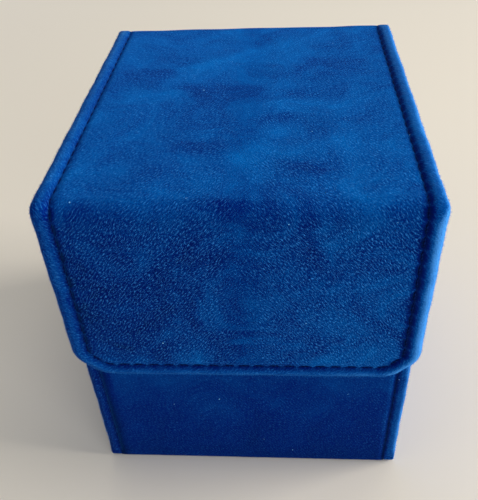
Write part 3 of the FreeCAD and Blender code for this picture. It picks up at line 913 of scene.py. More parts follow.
@dataclass(frozen=True)
class Fuzz:
    """Loose fibres that stand out of a rolled edge and soften its outline: slim three-sided cones."""

    apart: float = 0.42 * MM
    length: float = 0.55 * MM
    radius: float = 0.03 * MM
    lengths: tuple[float, float] = (0.5, 1.2)
    spread: float = 0.8
    # the fibres' nap is pale: a painted highlight for the glow of fuzz along the outline
    pale: float = 2.4
    seed: int = 11

    def grow(self, surface: Surface, bears: Callable[[Array, Array], Array]) -> Surface:
        """Root fibres evenly over a surface.

        Faces are drawn by their area, a root is a random mix of its face's corners, and its fibre points
        along the face's normal with a normally spread lean.

        Args:
            surface: The closed surface under the fibres.
            bears: Tells from the middles and the normals of the faces which of them bear fibres.

        Returns:
            All fibres.
        """
        chance = np.random.default_rng(self.seed)
        corner = surface.points[surface.quads]
        normal = np.cross(corner[:, 2] - corner[:, 0], corner[:, 3] - corner[:, 1]) / 2
        area = np.linalg.norm(normal, axis=1)
        normal = normal / np.maximum(area, NO_LENGTH)[:, None]
        borne = np.cumsum(area * bears(corner.mean(1), normal))
        count = int(borne[-1] / self.apart ** 2)
        cell = np.searchsorted(borne, (np.arange(count) + chance.random(count)) * borne[-1] / count)
        u, v = chance.random((2, count, 1))
        quad = corner[cell]
        root = (1 - u) * ((1 - v) * quad[:, 0] + v * quad[:, 1]) + u * ((1 - v) * quad[:, 3] + v * quad[:, 2])
        axis = normal[cell] + chance.normal(0, self.spread, (count, 3))
        axis = axis / np.linalg.norm(axis, axis=1, keepdims=True)
        side = np.cross(axis, np.where(np.abs(axis[:, 2:]) < 0.9, (0.0, 0.0, 1.0), (1.0, 0.0, 0.0)))
        side = side / np.linalg.norm(side, axis=1, keepdims=True)
        angle = np.linspace(0, 2 * math.pi, 4)[:, None]
        ring = np.cos(angle) * side[:, None] + np.sin(angle) * np.cross(axis, side)[:, None]
        ring = root[:, None] + self.radius * np.concatenate((ring[:, :3], ring[:, :1]), axis=1)
        reach = self.length * chance.uniform(*self.lengths, (count, 1))
        foot, tip = root - self.radius * axis, root + reach * axis
        grid = np.stack((np.repeat(foot[:, None], 4, 1), ring, np.repeat(tip[:, None], 4, 1)), 1)
        uv = surface.uv[cell][:, None, :1]
        return Surface.tiles(grid, uv, worn=0.0, nap=self.pale, ruffle=0.0).welded().outward()


@dataclass(frozen=True)
class NapStroke:
    """A mark that a hand left in the nap, in millimetres and degrees on the flat lid.

    It fades out softly on one side and is crisp on the other.
    """

    x: float
    s: float
    length: float
    width: float
    angle: float
    tone: float
    crispness: float = 3.5

    def shade(self, x: Array, s: Array) -> Array:
        """Tone of the mark at points of the cloth.

        Args:
            x: Distance across the lid from its middle.
            s: Distance along the lid from the fold.

        Returns:
            A flat-topped bell along the mark times two half bells across it, the second one narrower.
        """
        turn = math.radians(self.angle)
        dx, ds = x / MM - self.x, s / MM - self.s
        along = (dx * math.cos(turn) + ds * math.sin(turn)) / self.length
        across = (ds * math.cos(turn) - dx * math.sin(turn)) / self.width
        return self.tone * np.exp(-along ** 4 - np.where(across > 0, across, self.crispness * across) ** 2)


LID_STROKES = tuple(NapStroke(*mark) for mark in (
    (-4, -75, 20, 7, -31, 0.9), (-5.5, -53, 12, 9, 3, -1.2), (7.5, -36, 6, 5, -20, -0.9),
    (-10, -22, 8, 5, 8, -0.8), (14, -44, 10, 6, -10, 0.7), (6, -24, 12, 8, -52, 0.9),
    (12, -13, 8, 6, 20, -0.8), (-18, -43, 5, 8, 15, -0.8), (-29, -65, 9, 8, 5, -0.9),
    (28, -70, 15, 8, 6, -0.8), (22, -23, 10, 7, -25, 0.6), (-30, -13, 9, 8, 10, 0.5),
    (-27, -49, 8, 6, -15, 0.5), (-3, 1.5, 10, 3, 4, -0.8), (25, 12, 8, 7, -40, 0.54),
    (0, 18, 8, 7, 30, -0.54), (3.5, 31, 5, 4, 70, 0.48), (-0.5, 34, 6, 4, 75, -0.48),
    (14, 27, 10, 5, -20, 0.42), (17.5, 13, 5, 6, 30, -0.48), (-26, 46, 9, 5, -5, -0.54),
    (-12, 48, 8, 4, -10, 0.15), (4, 46, 10, 4, 0, -0.42), (-23, 7, 10, 5, 0, -0.3),
    # the last mark, broad and dark over the left of the flap, is painted shade, for light from the right
    (-24, 30, 9, 9, -30, 0.24), (-41, 28, 24, 30, -90, -1.35),
))


def slack(x: Array, s: Array) -> Array:
    """Height of the cloth's slow unevenness: a sum of crossing sines, in metres."""
    # lengths across and along in millimetres, phase, and height in millimetres
    waves = ((31, 47, 0.4, 0.05), (-58, 23, 1.9, 0.04), (19, 83, 3.1, 0.04), (-44, -71, 5.0, 0.03))
    return sum(high * MM * np.sin(2 * math.pi * (x / (across * MM) + s / (along * MM)) + phase)
               for across, along, phase, high in waves)


def lumps(along: Array) -> Array:
    """How far a stuffed edge strays from a straight line: two sines along it, in metres."""
    # length in millimetres, phase, and height in millimetres
    waves = ((23, 0.7, 0.06), (8.7, 2.1, 0.045))
    return sum(high * MM * np.sin(2 * math.pi * along / (length * MM) + phase)
               for length, phase, high in waves)


def between(ends: tuple[float, float], share: Array) -> Array:
    """The value at a share of the way from the first end to the second."""
    return ends[0] + (ends[1] - ends[0]) * share


@dataclass(frozen=True)
class Panel:
    """A rectangular sheet along a section line, turned down into a seam at the edges that are sewn."""

    name: str
    section: Section
    low: float
    high: float
    sewn: tuple[Edge, ...] = ()
    thickness: float = 0.7 * MM
    spacing: float = 1.2 * MM
    lip: Lip = Lip()
    high_lip: Lip | None = None
    patch_shift: tuple[float, float] = (0.0, 0.0)
    nap: tuple[float, float] = (-0.8, -0.8)
    ruffle: float = 0.7
    fine: float = 0.0
    fine_step: float = 0.12 * MM
    foot_flat: float = 0.9
    foot_reach: float = 2 * MM

    @property
    def flat(self) -> tuple[float, float]:
        """Width and length that the sheet was cut to."""
        return self.high - self.low, self.section.line.length

    def samples(self, low: float, high: float, inner: Array, sewn: tuple[bool, bool]) -> Array:
        """Places along one direction: the inner ones, with a lip's insets at each sewn end.

        Args:
            low: Lower end.
            high: Upper end.
            inner: Places between the ends.
            sewn: Whether the lower and the upper end are sewn.

        Returns:
            Sorted places.
        """
        insets = self.lip.insets()
        clear = (inner > low + sewn[0] * self.lip.width) & (inner < high - sewn[1] * self.lip.width)
        plain = np.zeros(1)
        ends = (low + (insets if sewn[0] else plain), high - (insets if sewn[1] else plain))
        return np.unique(np.concatenate((inner[clear], *ends)))

    def surface(self, fold: Callable[[Array], Array] | None = None) -> Surface:
        """Work out the closed sheet.

        The height at a point is the lowest of the lips of its sewn edges, plus the fold's own height. Near
        the floor the lips flatten out.

        Args:
            fold: Height along the section line, such as a crease.

        Returns:
            The sheet with its thickness.
        """
        line = self.section.line
        across = np.linspace(self.low, self.high, max(2, round((self.high - self.low) / self.spacing) + 1))
        a = self.samples(self.low, self.high, across, (Edge.LOW in self.sewn, Edge.HIGH in self.sewn))
        if self.section.plane is Plane.XZ:
            a = a[::-1]
        rows = np.concatenate((line.along, line.length - np.arange(0, self.fine, self.fine_step)))
        s = self.samples(0.0, line.length, rows, (Edge.START in self.sewn, Edge.END in self.sewn))
        insets = {Edge.LOW: a - self.low, Edge.HIGH: self.high - a,
                  Edge.START: s[:, None], Edge.END: line.length - s[:, None]}
        height, worn = np.zeros((len(s), len(a))), np.zeros((len(s), len(a)))
        # each sewn edge adds its lip's painted shade, and a painted highlight where its brow is lit
        for edge in self.sewn:
            height = np.minimum(height, self.lip.drop(insets[edge]))
            lip = self.high_lip if self.high_lip and edge is Edge.HIGH else self.lip
            worn = worn + lip.worn(insets[edge])
        foot = self.section.place(0.0, s, 0.0)[:, 2:]
        height = height * (1 - self.foot_flat * np.exp(-(foot / self.foot_reach) ** 2))
        nap = np.interp(s, (0, line.length), self.nap)[:, None]
        if fold is not None:
            height = height + fold(s)[:, None]
        points = self.section.place(a[None, :], s[:, None], height)
        uv = np.stack(np.broadcast_arrays(a[None, :], s[:, None]), -1) + self.patch_shift
        sheet = Surface.tiles(points, uv, worn=worn, nap=nap, ruffle=self.ruffle)
        return sheet.thickened(self.thickness).outward()


@dataclass
class Case:
    """The fixed box: suede panels and rolled edges outside, lining inside, boards and magnets between."""

    finishes: Finishes
    line_step: float = 1.2 * MM
    rim_round: float = 0.8 * MM
    # the rolled edges: their shape
    foot_round: float = 0.8 * MM
    nose: float = 1.2 * MM
    fuller: float = 0.3 * MM
    overlap: float = 0.4 * MM
    creep: float = 0.5 * MM
    roll_shift: float = 0.35 * MM
    heel: float = 0.6 * MM
    foot_reach: float = 3 * MM
    pucker: float = 0.012
    # the rolled edges: the lie of their nap, and their painted light and shade, pale on the right, dark on
    # the left
    pattern_apart: float = 100 * MM
    roll_facing: float = 0.75
    painted_highlight_from: float = 0.1
    left_nap_shade: float = -1.7
    right_nap: float = -0.6
    roll_ruffle: float = 0.9
    # the hinge strip, which bends over a short height round the hinge
    crease: float = 0.3 * MM
    crease_width: float = 0.45 * MM
    hinge_bend: float = 1.1 * MM
    hinge_room: float = 0.25 * MM
    # the lining
    lining_thickness: float = 0.5 * MM
    lining_round: float = 0.55 * MM
    # stitches and loose fibres
    stitch_depth: float = 0.85 * MM
    stitching: Stitching = Stitching()
    fuzz: Fuzz = Fuzz()
    fuzz_facing: float = 0.55
    fuzz_low: float = 1 * MM

    def __post_init__(self) -> None:
        """Read the sizes of the case from the frame."""
        low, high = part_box("right_piping")
        self.side, self.end, self.rim = high.x, high.y, high.z
        self.seam = low.x + self.creep
        self.roll = high.x - low.x
        self.core = self.end - self.roll
        self.room_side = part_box("right_lining")[0].x
        self.room_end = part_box("back_lining")[0].y
        self.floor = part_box("base_lining")[1].z
        self.skin = self.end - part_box("back_board")[1].y
        self.strip_low, self.strip_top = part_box("hinge_strip")[0].z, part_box("hinge_strip")[1].z
        self.hinge = next(Vector(joint["pos_m"]) for joint in frame["joints"] if joint["name"] == "lid_hinge")

    def section(self, corners: list[tuple[float, float]], radius: float, plane: Plane = Plane.YZ) -> Section:
        """A section line through corners that share one radius."""
        return Section(Line.rounded(corners, [radius] * (len(corners) - 2), self.line_step), plane)

    def outside(self) -> list[tuple[Panel, str]]:
        """Cut the suede panels.

        Returns:
            Each panel with the node that it stands for.
        """
        side, end, rim, core, seam, roll = self.side, self.end, self.rim, self.core, self.seam, self.roll
        skin, bend, sides = end - self.skin, self.rim_round, (Edge.LOW, Edge.HIGH)
        front = self.section([(-core, rim), (-end, rim), (-end, 0), (-skin, 0)], bend)
        back = self.section([(skin, 0), (end, 0), (end, self.strip_top)], bend)
        base = self.section([(-skin, 0), (skin, 0)], 0)
        right = self.section([(side, roll), (side, rim), (seam, rim)], bend, Plane.XZ)
        left = self.section([(-seam, rim), (-side, rim), (-side, roll)], bend, Plane.XZ)
        return [
            # the front: painted shade by its left seam, a painted highlight on its right brow, darker nap to
            # the foot as painted shade
            (Panel("front_suede", front, -seam, seam, sides, lip=Lip(shadow=2.2 * MM, dark=1.5),
                   high_lip=Lip(shadow=0.8 * MM, dark=1.5, lit=0.4), patch_shift=(0.31, 0.05),
                   nap=(0.65, -1.95), ruffle=0.6), "front_cover"),
            (Panel("back_suede", back, -seam, seam, sides, patch_shift=(0.52, 0.21),
                   fine=self.strip_top - self.strip_low), "back_cover"),
            (Panel("base_suede", base, -seam, seam, sides, patch_shift=(0.73, 0.43)), "base_cover"),
            (Panel("right_suede", right, -core, core, (*sides, Edge.START), patch_shift=(0.97, 0.17),
                   nap=(-0.5, -0.5)), "right_cover"),
            (Panel("left_suede", left, -core, core, (*sides, Edge.END), patch_shift=(1.21, 0.33)),
             "left_cover"),
        ]

    def inside(self) -> list[tuple[Panel, str]]:
        """Cut the lining panels.

        Returns:
            Each panel with the node that it stands for.
        """
        x, y, rim, low = self.room_side, self.room_end, self.rim, self.roll
        seam, core, skin, bend = self.seam, self.core, self.end - self.skin, self.lining_round
        front = self.section([(-y, low), (-y, rim), (-core, rim)], bend)
        back = self.section([(skin + self.hinge_room, rim), (y, rim), (y, low)], bend)
        left = self.section([(-x, low), (-x, rim), (-seam, rim)], bend, Plane.XZ)
        right = self.section([(seam, rim), (x, rim), (x, low)], bend, Plane.XZ)
        base = self.section([(y, self.floor), (-y, self.floor)], 0)
        cuts = (("front", front, seam, (0.0, 0.0)), ("back", back, seam, (0.3, 0.1)),
                ("left", left, y, (0.5, 0.2)), ("right", right, y, (0.7, 0.3)), ("base", base, x, (0.9, 0.4)))
        return [(Panel(f"{wall}_cloth", section, -half, half, thickness=self.lining_thickness,
                       patch_shift=shift),
                 f"{wall}_lining") for wall, section, half, shift in cuts]

    def edge_section(self) -> Section:
        """Middle line of a rolled edge: down the front, under the base and up the back."""
        y, low, top = self.end - self.roll / 2, self.roll / 2, self.rim - self.nose
        return self.section([(-y, top), (-y, low), (y, low), (y, top)], self.foot_round)

    def rolled_edge(self, hand: int) -> Surface:
        """Carry the roll's section along one side of the case, with a rounded nose at each rim.

        The section strays outwards with the roll's lumps, puckers with the stitches, is pressed square at
        the feet and swells at the bends there by the square of twice the product of the heading's parts.
        What would lie below the floor is pressed flat on it.

        Args:
            hand: 1 on the right and -1 on the left.

        Returns:
            The closed roll.
        """
        section = self.edge_section()
        half, shift, total = self.roll / 2, self.roll_shift, section.line.length
        roll = Roll(half - self.creep + self.overlap + shift, half + self.fuller - shift, half, half)
        rows, grow = roll.rows(section.line.along, self.nose)
        foot = self.rim - self.nose - half
        near = np.minimum(np.abs(rows - foot), np.abs(rows - total + foot))
        shape = roll.squared(np.exp(-(near / self.foot_reach) ** 2))
        stray = lumps(rows + self.pattern_apart * hand)[:, None] * (shape[..., 0] > 0)
        across = grow[..., 0] * (shape[..., 0] + stray)
        wave = 1 + self.pucker * np.cos(2 * math.pi * rows / self.stitching.pitch)
        height = grow[..., 1] * wave[:, None] * shape[..., 1]
        held = np.clip(rows, 0, total)
        bend = (2 * np.prod(section.line.heading(held), axis=1)[:, None]) ** 2
        height = height + self.heel * bend * (height > 0) * height / half
        points = section.place(hand * (self.side - half + shift + across), held[:, None], height)
        points[..., 2] = np.maximum(points[..., 2] + np.abs(rows - held)[:, None], 0)
        girth = np.concatenate(([0], np.cumsum(np.linalg.norm(np.diff(roll.outline(), axis=0), axis=1))))
        uv = np.stack(np.broadcast_arrays(girth + self.pattern_apart * hand, rows[:, None]), -1)
        pull = self.stitching.pull(rows, total)
        # painted light and shade round each roll; the left roll's darker nap is painted shade as well
        worn = roll.worn(np.full(len(rows), self.roll_facing * hand), pull, self.painted_highlight_from) * grow.min(-1)
        nap = self.right_nap if hand > 0 else self.left_nap_shade
        return Surface.tiles(points, uv, worn=worn, nap=nap, ruffle=self.roll_ruffle).welded().outward()

    def stitches(self) -> Surface:
        """Sew the seams beside both rolls: on the front, base and back, and on the sides.

        Returns:
            All stitches of the case.
        """
        section, sink, half = self.edge_section(), self.stitch_depth, self.roll / 2
        rows = []
        for hand in (-1, 1):
            def facing(along: Array) -> tuple[Array, Array]:
                """Seam on the front, base and back."""
                return section.place(hand * self.seam, along, half - sink), section.out(along)

            def beside(along: Array) -> tuple[Array, Array]:
                """Seam on the side."""
                out = np.zeros((*np.shape(along), 3)) + (hand, 0, 0)
                return section.place(hand * (self.side - sink), along, -half), out

            rows += [self.stitching.row(section.line.length, guide) for guide in (facing, beside)]
        return reduce(Surface.joined, rows)

    def build(self) -> None:
        """Make, dress and hang every piece of the case."""
        for panels, finish, slot in ((self.outside(), self.finishes.suede, Slot.SUEDE),
                                     (self.inside(), self.finishes.lining, Slot.LINING)):
            for panel, node in panels:
                if panel.fine:
                    self.hang_back(panel, finish, node)
                    continue
                piece = panel.surface().as_object(panel.name, finish)
                hang(piece, slot, Body.CASE, node)
        for hand, side in ((-1, "left"), (1, "right")):
            roll = self.rolled_edge(hand)
            piece = roll.as_object(f"{side}_rolled_edge", self.finishes.edge)
            hang(piece, Slot.SUEDE, Body.CASE, f"{side}_piping")
            fuzz = self.fuzz.grow(roll, lambda middle, out: (hand * out[:, 0] > self.fuzz_facing)
                                  & (middle[:, 2] > self.fuzz_low))
            hang(fuzz.as_object(f"{side}_fuzz", self.finishes.edge), Slot.SUEDE, Body.CASE)
        hang(self.stitches().as_object("case_stitches", self.finishes.thread), Slot.THREAD, Body.CASE)

    def hang_back(self, panel: Panel, finish: bpy.types.Material, node: str) -> None:
        """Make the back sheet, which runs on past the rim and bends there as the lid's hinge.

        Args:
            panel: The back sheet.
            finish: Its material.
            node: The node of the back wall that it stands for, beside the hinge.
        """
        crease = panel.flat[1] - (self.strip_top - self.hinge.z)
        sheet = panel.surface(lambda s: -self.crease * np.exp(-((s - crease) / self.crease_width) ** 2))
        piece = sheet.as_object(panel.name, finish)
        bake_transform(piece)
        hang(piece, Slot.SUEDE, None, node, "hinge_strip")


@dataclass
class Lid:
    """The lid: one suede sheet from the back edge over the top and the fold to the flap's clipped corners."""

    finishes: Finishes
    spacing: float = 0.45 * MM
    line_step: float = 0.1 * MM
    columns: int = 84
    corner_cut: float = 6.4 * MM
    corner_round: float = 4.1 * MM
    thickness: float = 0.7 * MM
    slack_reach: float = 5 * MM
    # the rolled edge
    crown: float = 0.5 * MM
    fuller_inside: float = 0.25 * MM
    fuller_outside: float = 0.5 * MM
    overlap: float = 0.28 * MM
    crest: float = 0.53
    roll_middle: float = 2.4 * MM
    clear: float = 0.05 * MM
    pucker: float = 0.015
    girth: float = 3.2
    pattern_shift: float = 400 * MM
    ear_up: float = 0.55 * MM
    ear_out: float = 0.1 * MM
    crease_room: float = 0.45 * MM
    crease_reach: float = 6.5 * MM
    # painted highlight along the roll, where it starts on lid, flap and ear; left rolls get darker nap as
    # painted shade
    painted_highlight_from: tuple[float, float] = (0.15, -0.4)
    ear_highlight_shift: float = 0.5
    roll_nap_shade: float = 0.25
    roll_ruffle: float = 0.85
    # the back edge, where the sheet and the roll lie flush with the hinge
    rear_round: float = 1.6 * MM
    rear_nose: float = 1.6 * MM
    rear_reach: float = 5 * MM
    rear_flat: float = 0.9
    rear_fade: float = 3.5 * MM
    rear_nap: float = Panel.nap[0]
    rear_ruffle: float = Panel.ruffle
    # the lip along the seam: pairs are for the low run and the sides, or for the lid and the flap
    lip: Lip = Lip(shadow=1.2 * MM)
    bridge: tuple[float, float] = (0.7, 0.45)
    bridge_pale: float = 1.3
    lip_depth: tuple[float, float] = (0.75, 1.1)
    lip_shade: tuple[float, float] = (0.3, 2.6)
    # the nap: its lay on the flap, darker as painted shade, its ruffle on the lid and on the flap, and
    # where it is pressed smooth
    flap_nap_shade: float = -0.5
    ruffle: tuple[float, float] = (1.65, 1.9)
    ruffle_slope: float = 0.12
    smooth: float = 0.35
    smooth_reach: float = 4 * MM
    fold_lead: float = 1 * MM
    # the lining, tucked up into the seam
    lining_thickness: float = 0.45 * MM
    lining_round: float = 0.3 * MM
    lining_step: float = 1.2 * MM
    lining_past: float = 0.25 * MM
    lining_bend: float = 0.5 * MM
    lining_columns: int = 60
    tuck: float = 0.7 * MM
    tuck_width: float = 1.6 * MM
    tuck_up: float = 1.4 * MM
    tuck_steps: int = 6
    row_gap: float = 0.1 * MM
    # stitches and loose fibres
    stitch_depth: float = 0.68 * MM
    lining_stitch_depth: float = 0.45 * MM
    crease_bare: float = 2.5 * MM
    stitching: Stitching = Stitching()
    fuzz: Fuzz = Fuzz(seed=7)
    fuzz_side: float = 0.25
    fuzz_low: tuple[float, float] = (0.3, -0.3)
    fuzz_back: float = 0.6

    def __post_init__(self) -> None:
        """Read the sizes of the lid from the frame and draw its section lines."""
        low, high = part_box("flap_piping")
        self.side, self.front, self.inside = high.x, low.y, high.y
        self.fold = self.inside - self.front
        top_low, top_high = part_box("top_cover")
        self.seam, self.rear, self.top = top_high.x, top_high.y, top_high.z
        self.under = self.top - self.fold
        self.roll = self.side - self.seam
        self.seam -= self.fuller_inside
        self.seam_low = low.z + self.roll
        strip_top, depth, turn = top_low.z, self.rear - self.inside, self.rear_round
        path = [(self.rear, self.top), (self.front, self.top), (self.front, low.z - self.roll)]
        skin = Line.rounded([(self.rear, strip_top), *path], [turn, self.fold], self.line_step)
        edge = Line.rounded(path, [self.fold], self.line_step)
        self.skin = Section(skin, origin=depth + self.top - strip_top - turn * (2 - math.pi / 2))
        self.edge = Section(edge, origin=depth)
        self.start, self.fold_end = -self.skin.origin, self.fold * math.pi / 2
        self.end = self.fold_end + self.under - self.seam_low
        self.leg = self.corner_cut - self.roll * (2 - math.sqrt(2))

    def seam_side(self) -> Line:
        """Draw the right half of the seam on the flat cloth.

        Returns:
            Its line from the back edge to where the straight low run starts.
        """
        x, leg, bend = self.seam, self.leg, self.corner_round
        low_run = x - leg - bend * math.tan(math.pi / 8)
        corners = [(x, self.start), (x, self.end - leg), (x - leg, self.end), (low_run - 1e-6, self.end)]
        return Line.rounded(corners, [bend, bend], self.spacing)

    def seam_line(self) -> Line:
        """Draw the whole seam on the flat cloth.

        Returns:
            Its line from the left back corner round the flap to the right back corner.
        """
        x, leg, bend = self.seam, self.leg, self.corner_round
        start = self.inside - self.rear + self.rear_nose
        corners = [(-x, start), (-x, self.end - leg), (leg - x, self.end), (x - leg, self.end),
                   (x, self.end - leg), (x, start)]
        return Line.rounded(corners, [bend] * 4, self.spacing)

    def sheet(self, section: Section, thickness: float, sunk: bool) -> Surface:
        """Work out a sheet inside the seam: straight rows across, and a lip that follows the seam.

        Row k runs between the two seam points k, each moved in by the lip's width; the lip's own
        columns lie on the same points moved in along the seam's normal. Between two stitches the lip is
        bridged, so it drops less there and its painted shade is lighter. On the flap the painted shade
        of the lip grows, most at the sides.

        Args:
            section: Section line to wrap the sheet round.
            thickness: Thickness of the sheet.
            sunk: Whether the edge turns down into the seam.

        Returns:
            The closed sheet.
        """
        right = self.seam_side()
        inward = np.stack((-right.headings[:, 1], right.headings[:, 0]), 1)
        share = np.linspace(-1, 1, self.columns)
        inner = right.points + self.lip.width * inward
        x, s = inner[:, :1] * share, np.repeat(inner[:, 1:], len(share), axis=1)
        room = np.minimum(inner[:, :1] - np.abs(x), (self.end - self.lip.width - s).clip(0))
        loose = 1 - np.exp(-(room / self.slack_reach) ** 2)
        worn = self.lip.worn(room + self.lip.width)
        field_part = self.flat_tile(section, x, s, sunk * slack(x, s) * loose, worn)

        low = np.stack((share[1:-1] * right.points[-1, 0], np.full(len(share) - 2, self.end)), 1)
        mirror = np.array([-1.0, 1.0])
        seam = np.concatenate((right.points * mirror, low, right.points[::-1]))
        normal = np.concatenate((inward * mirror, np.tile((0.0, -1.0), (len(low), 1)), inward[::-1]))
        normal[len(right.points) - 1] = normal[-len(right.points)] = (0.0, -1.0)
        insets = self.lip.insets()
        flat = seam[:, None] + insets[:, None] * normal[:, None]
        step = np.linalg.norm(np.diff(seam, axis=0), axis=1)
        along = np.concatenate(([0.0], np.cumsum(step)))[:, None]
        sewn = self.seam_line()
        pull = self.stitching.pull(along - (sewn.points[0, 1] - self.start), sewn.length)
        flush = 1 - self.rear_flat * np.exp(-((flat[..., 1] - self.start) / self.rear_reach) ** 4)
        sideways, folded = normal[:, :1] ** 2, self.folded(flat[..., 1])
        bridge = between(self.bridge, sideways) * (1 - pull)
        drop = self.lip.drop(insets) * flush * (1 - bridge) * between(self.lip_depth, folded)
        # the lip's painted shade: lighter where bridged, and stronger on the flap, most at its sides
        darker = 1 + between(self.lip_shade, sideways) * folded
        worn = self.lip.worn(insets) * (1 - self.bridge_pale * bridge) * darker
        lip_part = self.flat_tile(section, flat[..., 0], flat[..., 1], sunk * drop, worn)
        return field_part.joined(lip_part).welded().thickened(thickness).outward()

    def flat_tile(self, section: Section, x: Array, s: Array, h: Array, worn: Array) -> Surface:
        """Wrap one grid of flat points, with the hand marks in its nap.

        The nap is ruffled a little more to the right, and less in a bell round the fold's far end; at the
        back edge it comes to match the hinge. On the flap its lay is darker, as painted shade.

        Args:
            section: Section line to wrap the grid round.
            x: Distances across the lid from its middle.
            s: Distances along the lid from the fold.
            h: Heights above the section line.
            worn: Painted light and shade on the nap.

        Returns:
            The wrapped grid.
        """
        flap = self.folded(s)
        nap = self.flap_nap_shade * flap + sum(stroke.shade(x, s) for stroke in LID_STROKES)
        pressed = self.smooth * np.exp(-((s - self.fold) / self.smooth_reach) ** 2)
        ruffle = between(self.ruffle, flap) * (1 + self.ruffle_slope * x / self.seam) * (1 - pressed)
        rear = np.exp(-((s - self.start) / self.rear_fade) ** 2)
        nap, ruffle = nap + (self.rear_nap - nap) * rear, ruffle + (self.rear_ruffle - ruffle) * rear
        return Surface.tiles(section.place(x, s, h), np.stack((x, s), -1), worn=worn, nap=nap, ruffle=ruffle)

    def folded(self, s: Array) -> Array:
        """How far the cloth has gone round the fold: a smooth step from 0 on the lid to 1 on the flap."""
        share = np.clip((s + self.fold_lead) / self.fold_end, 0, 1)
        return share ** 2 * (3 - 2 * share)

    def rolled_edge(self) -> Surface:
        """Carry the roll's section along the seam, with a rounded nose at both back corners.

        The section is wider on the straight sides, strays outwards with the roll's lumps, puckers with the
        stitches and is pressed square and flush at the hinge. On the fold it swells into an ear by the
        squared sine of twice the angle turned, and its underside keeps clear of the crease.

        Returns:
            The closed roll.
        """
        seam, middle = self.seam_line(), self.roll_middle
        roll = Roll(self.crest, 1 - self.crest, middle - self.clear, self.fold + self.crown - middle)
        along, grow = roll.rows(seam.along, self.rear_nose)
        held = np.clip(along, 0, seam.length)
        flat, heading = seam.at(held) - np.abs(along - held)[:, None] * (0, 1), seam.heading(held)
        flush = np.exp(-((flat[:, 1] - self.start) / self.rear_reach) ** 2)
        shape = roll.squared(flush)
        wave = 1 + self.pucker * np.cos(2 * math.pi * along / self.stitching.pitch)
        wide = self.overlap + self.roll + heading[:, 1] ** 2 * (self.fuller_inside + self.fuller_outside)
        ear = np.sin(2 * np.clip(flat[:, 1] / self.fold, 0, math.pi / 2)) ** 2
        stray = (self.ear_out * ear + lumps(along))[:, None] * (shape[..., 0] > 0)
        outward = wide[:, None] * (self.crest + grow[..., 0] * shape[..., 0]) + stray - self.overlap
        height = middle - self.fold + grow[..., 1] * wave[:, None] * shape[..., 1]
        raised = (self.ear_up * ear - self.crown * flush)[:, None]
        height = height + raised * np.clip(1 + height / self.fold, 0, 1)
        crease = np.exp(-((flat[:, 1:] - self.fold_end / 2) / self.crease_reach) ** 4)
        height = np.maximum(height, self.clear + self.crease_room * crease - self.fold)
        points = self.edge.place(flat[:, :1] - outward * heading[:, 1:],
                                 flat[:, 1:] + outward * heading[:, :1], height)
        girth = self.pattern_shift + self.roll * np.linspace(0, self.girth, roll.sides + 1)
        uv = np.stack(np.broadcast_arrays(girth, along[:, None]), -1)
        # painted light and shade: a highlight on rows that face right, shade on rows that face left and on
        # the flap
        hand, folded = -heading[:, 1], self.folded(flat[:, 1])
        painted_highlight_from = between(self.painted_highlight_from, folded) + self.ear_highlight_shift * ear
        worn = roll.worn(hand, self.stitching.pull(along, seam.length), painted_highlight_from) * grow.min(-1)
        nap = (self.flap_nap_shade * folded + self.roll_nap_shade * (hand - 1))[:, None]
        return Surface.tiles(points, uv, worn=worn, nap=nap, ruffle=self.roll_ruffle).welded().outward()

    def shows(self, middle: Array, out: Array) -> Array:
        """Tell which faces of the roll bear fibres.

        Args:
            middle: Middles of the faces.
            out: Normals of the faces.

        Returns:
            Whether each face points outwards at a side, or down and forwards on the low run, and not back.
        """
        front, down = self.fuzz_low
        low = (middle[:, 2] < self.seam_low) & (out[:, 2] < down) & (out[:, 1] < front)
        side = np.sign(middle[:, 0]) * out[:, 0] > self.fuzz_side
        return (side | low) & (out[:, 1] < self.fuzz_back)

    def stitches(self, depth: float, face: int) -> Surface:
        """Stitch row in the seam, on one face of the lid.

        Args:
            depth: Depth of the thread's middle below the outer face.
            face: 1 for the suede face and -1 for the lining face, where the crease has none.

        Returns:
            The row of stitches.
        """
        seam = self.seam_line()

        def guide(along: Array) -> tuple[Array, Array]:
            """Seam points and outward vectors."""
            flat = seam.at(along)
            return self.edge.place(flat[..., 0], flat[..., 1], -depth), face * self.edge.out(flat[..., 1])

        def on_crease(along: Array) -> Array:
            """Middles that fall on the fold."""
            s = seam.at(along)[..., 1]
            return (s > -self.crease_bare) & (s < self.fold_end + self.crease_bare)

        return self.stitching.row(seam.length, guide, on_crease if face < 0 else None)

    def lining_section(self) -> Section:
        """Draw the section of the lining.

        Returns:
            Its line up inside the flap to the crease, along the lid's underside and up over its back.
        """
        low, back = self.seam_low - self.tuck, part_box("top_lining")[1].y + self.lining_past
        corners = [(self.inside, low), (self.inside, self.under), (back, self.under),
                   (back, self.under + self.tuck_up)]
        return Section(Line.rounded(corners, [0.0, self.lining_round], self.lining_step))

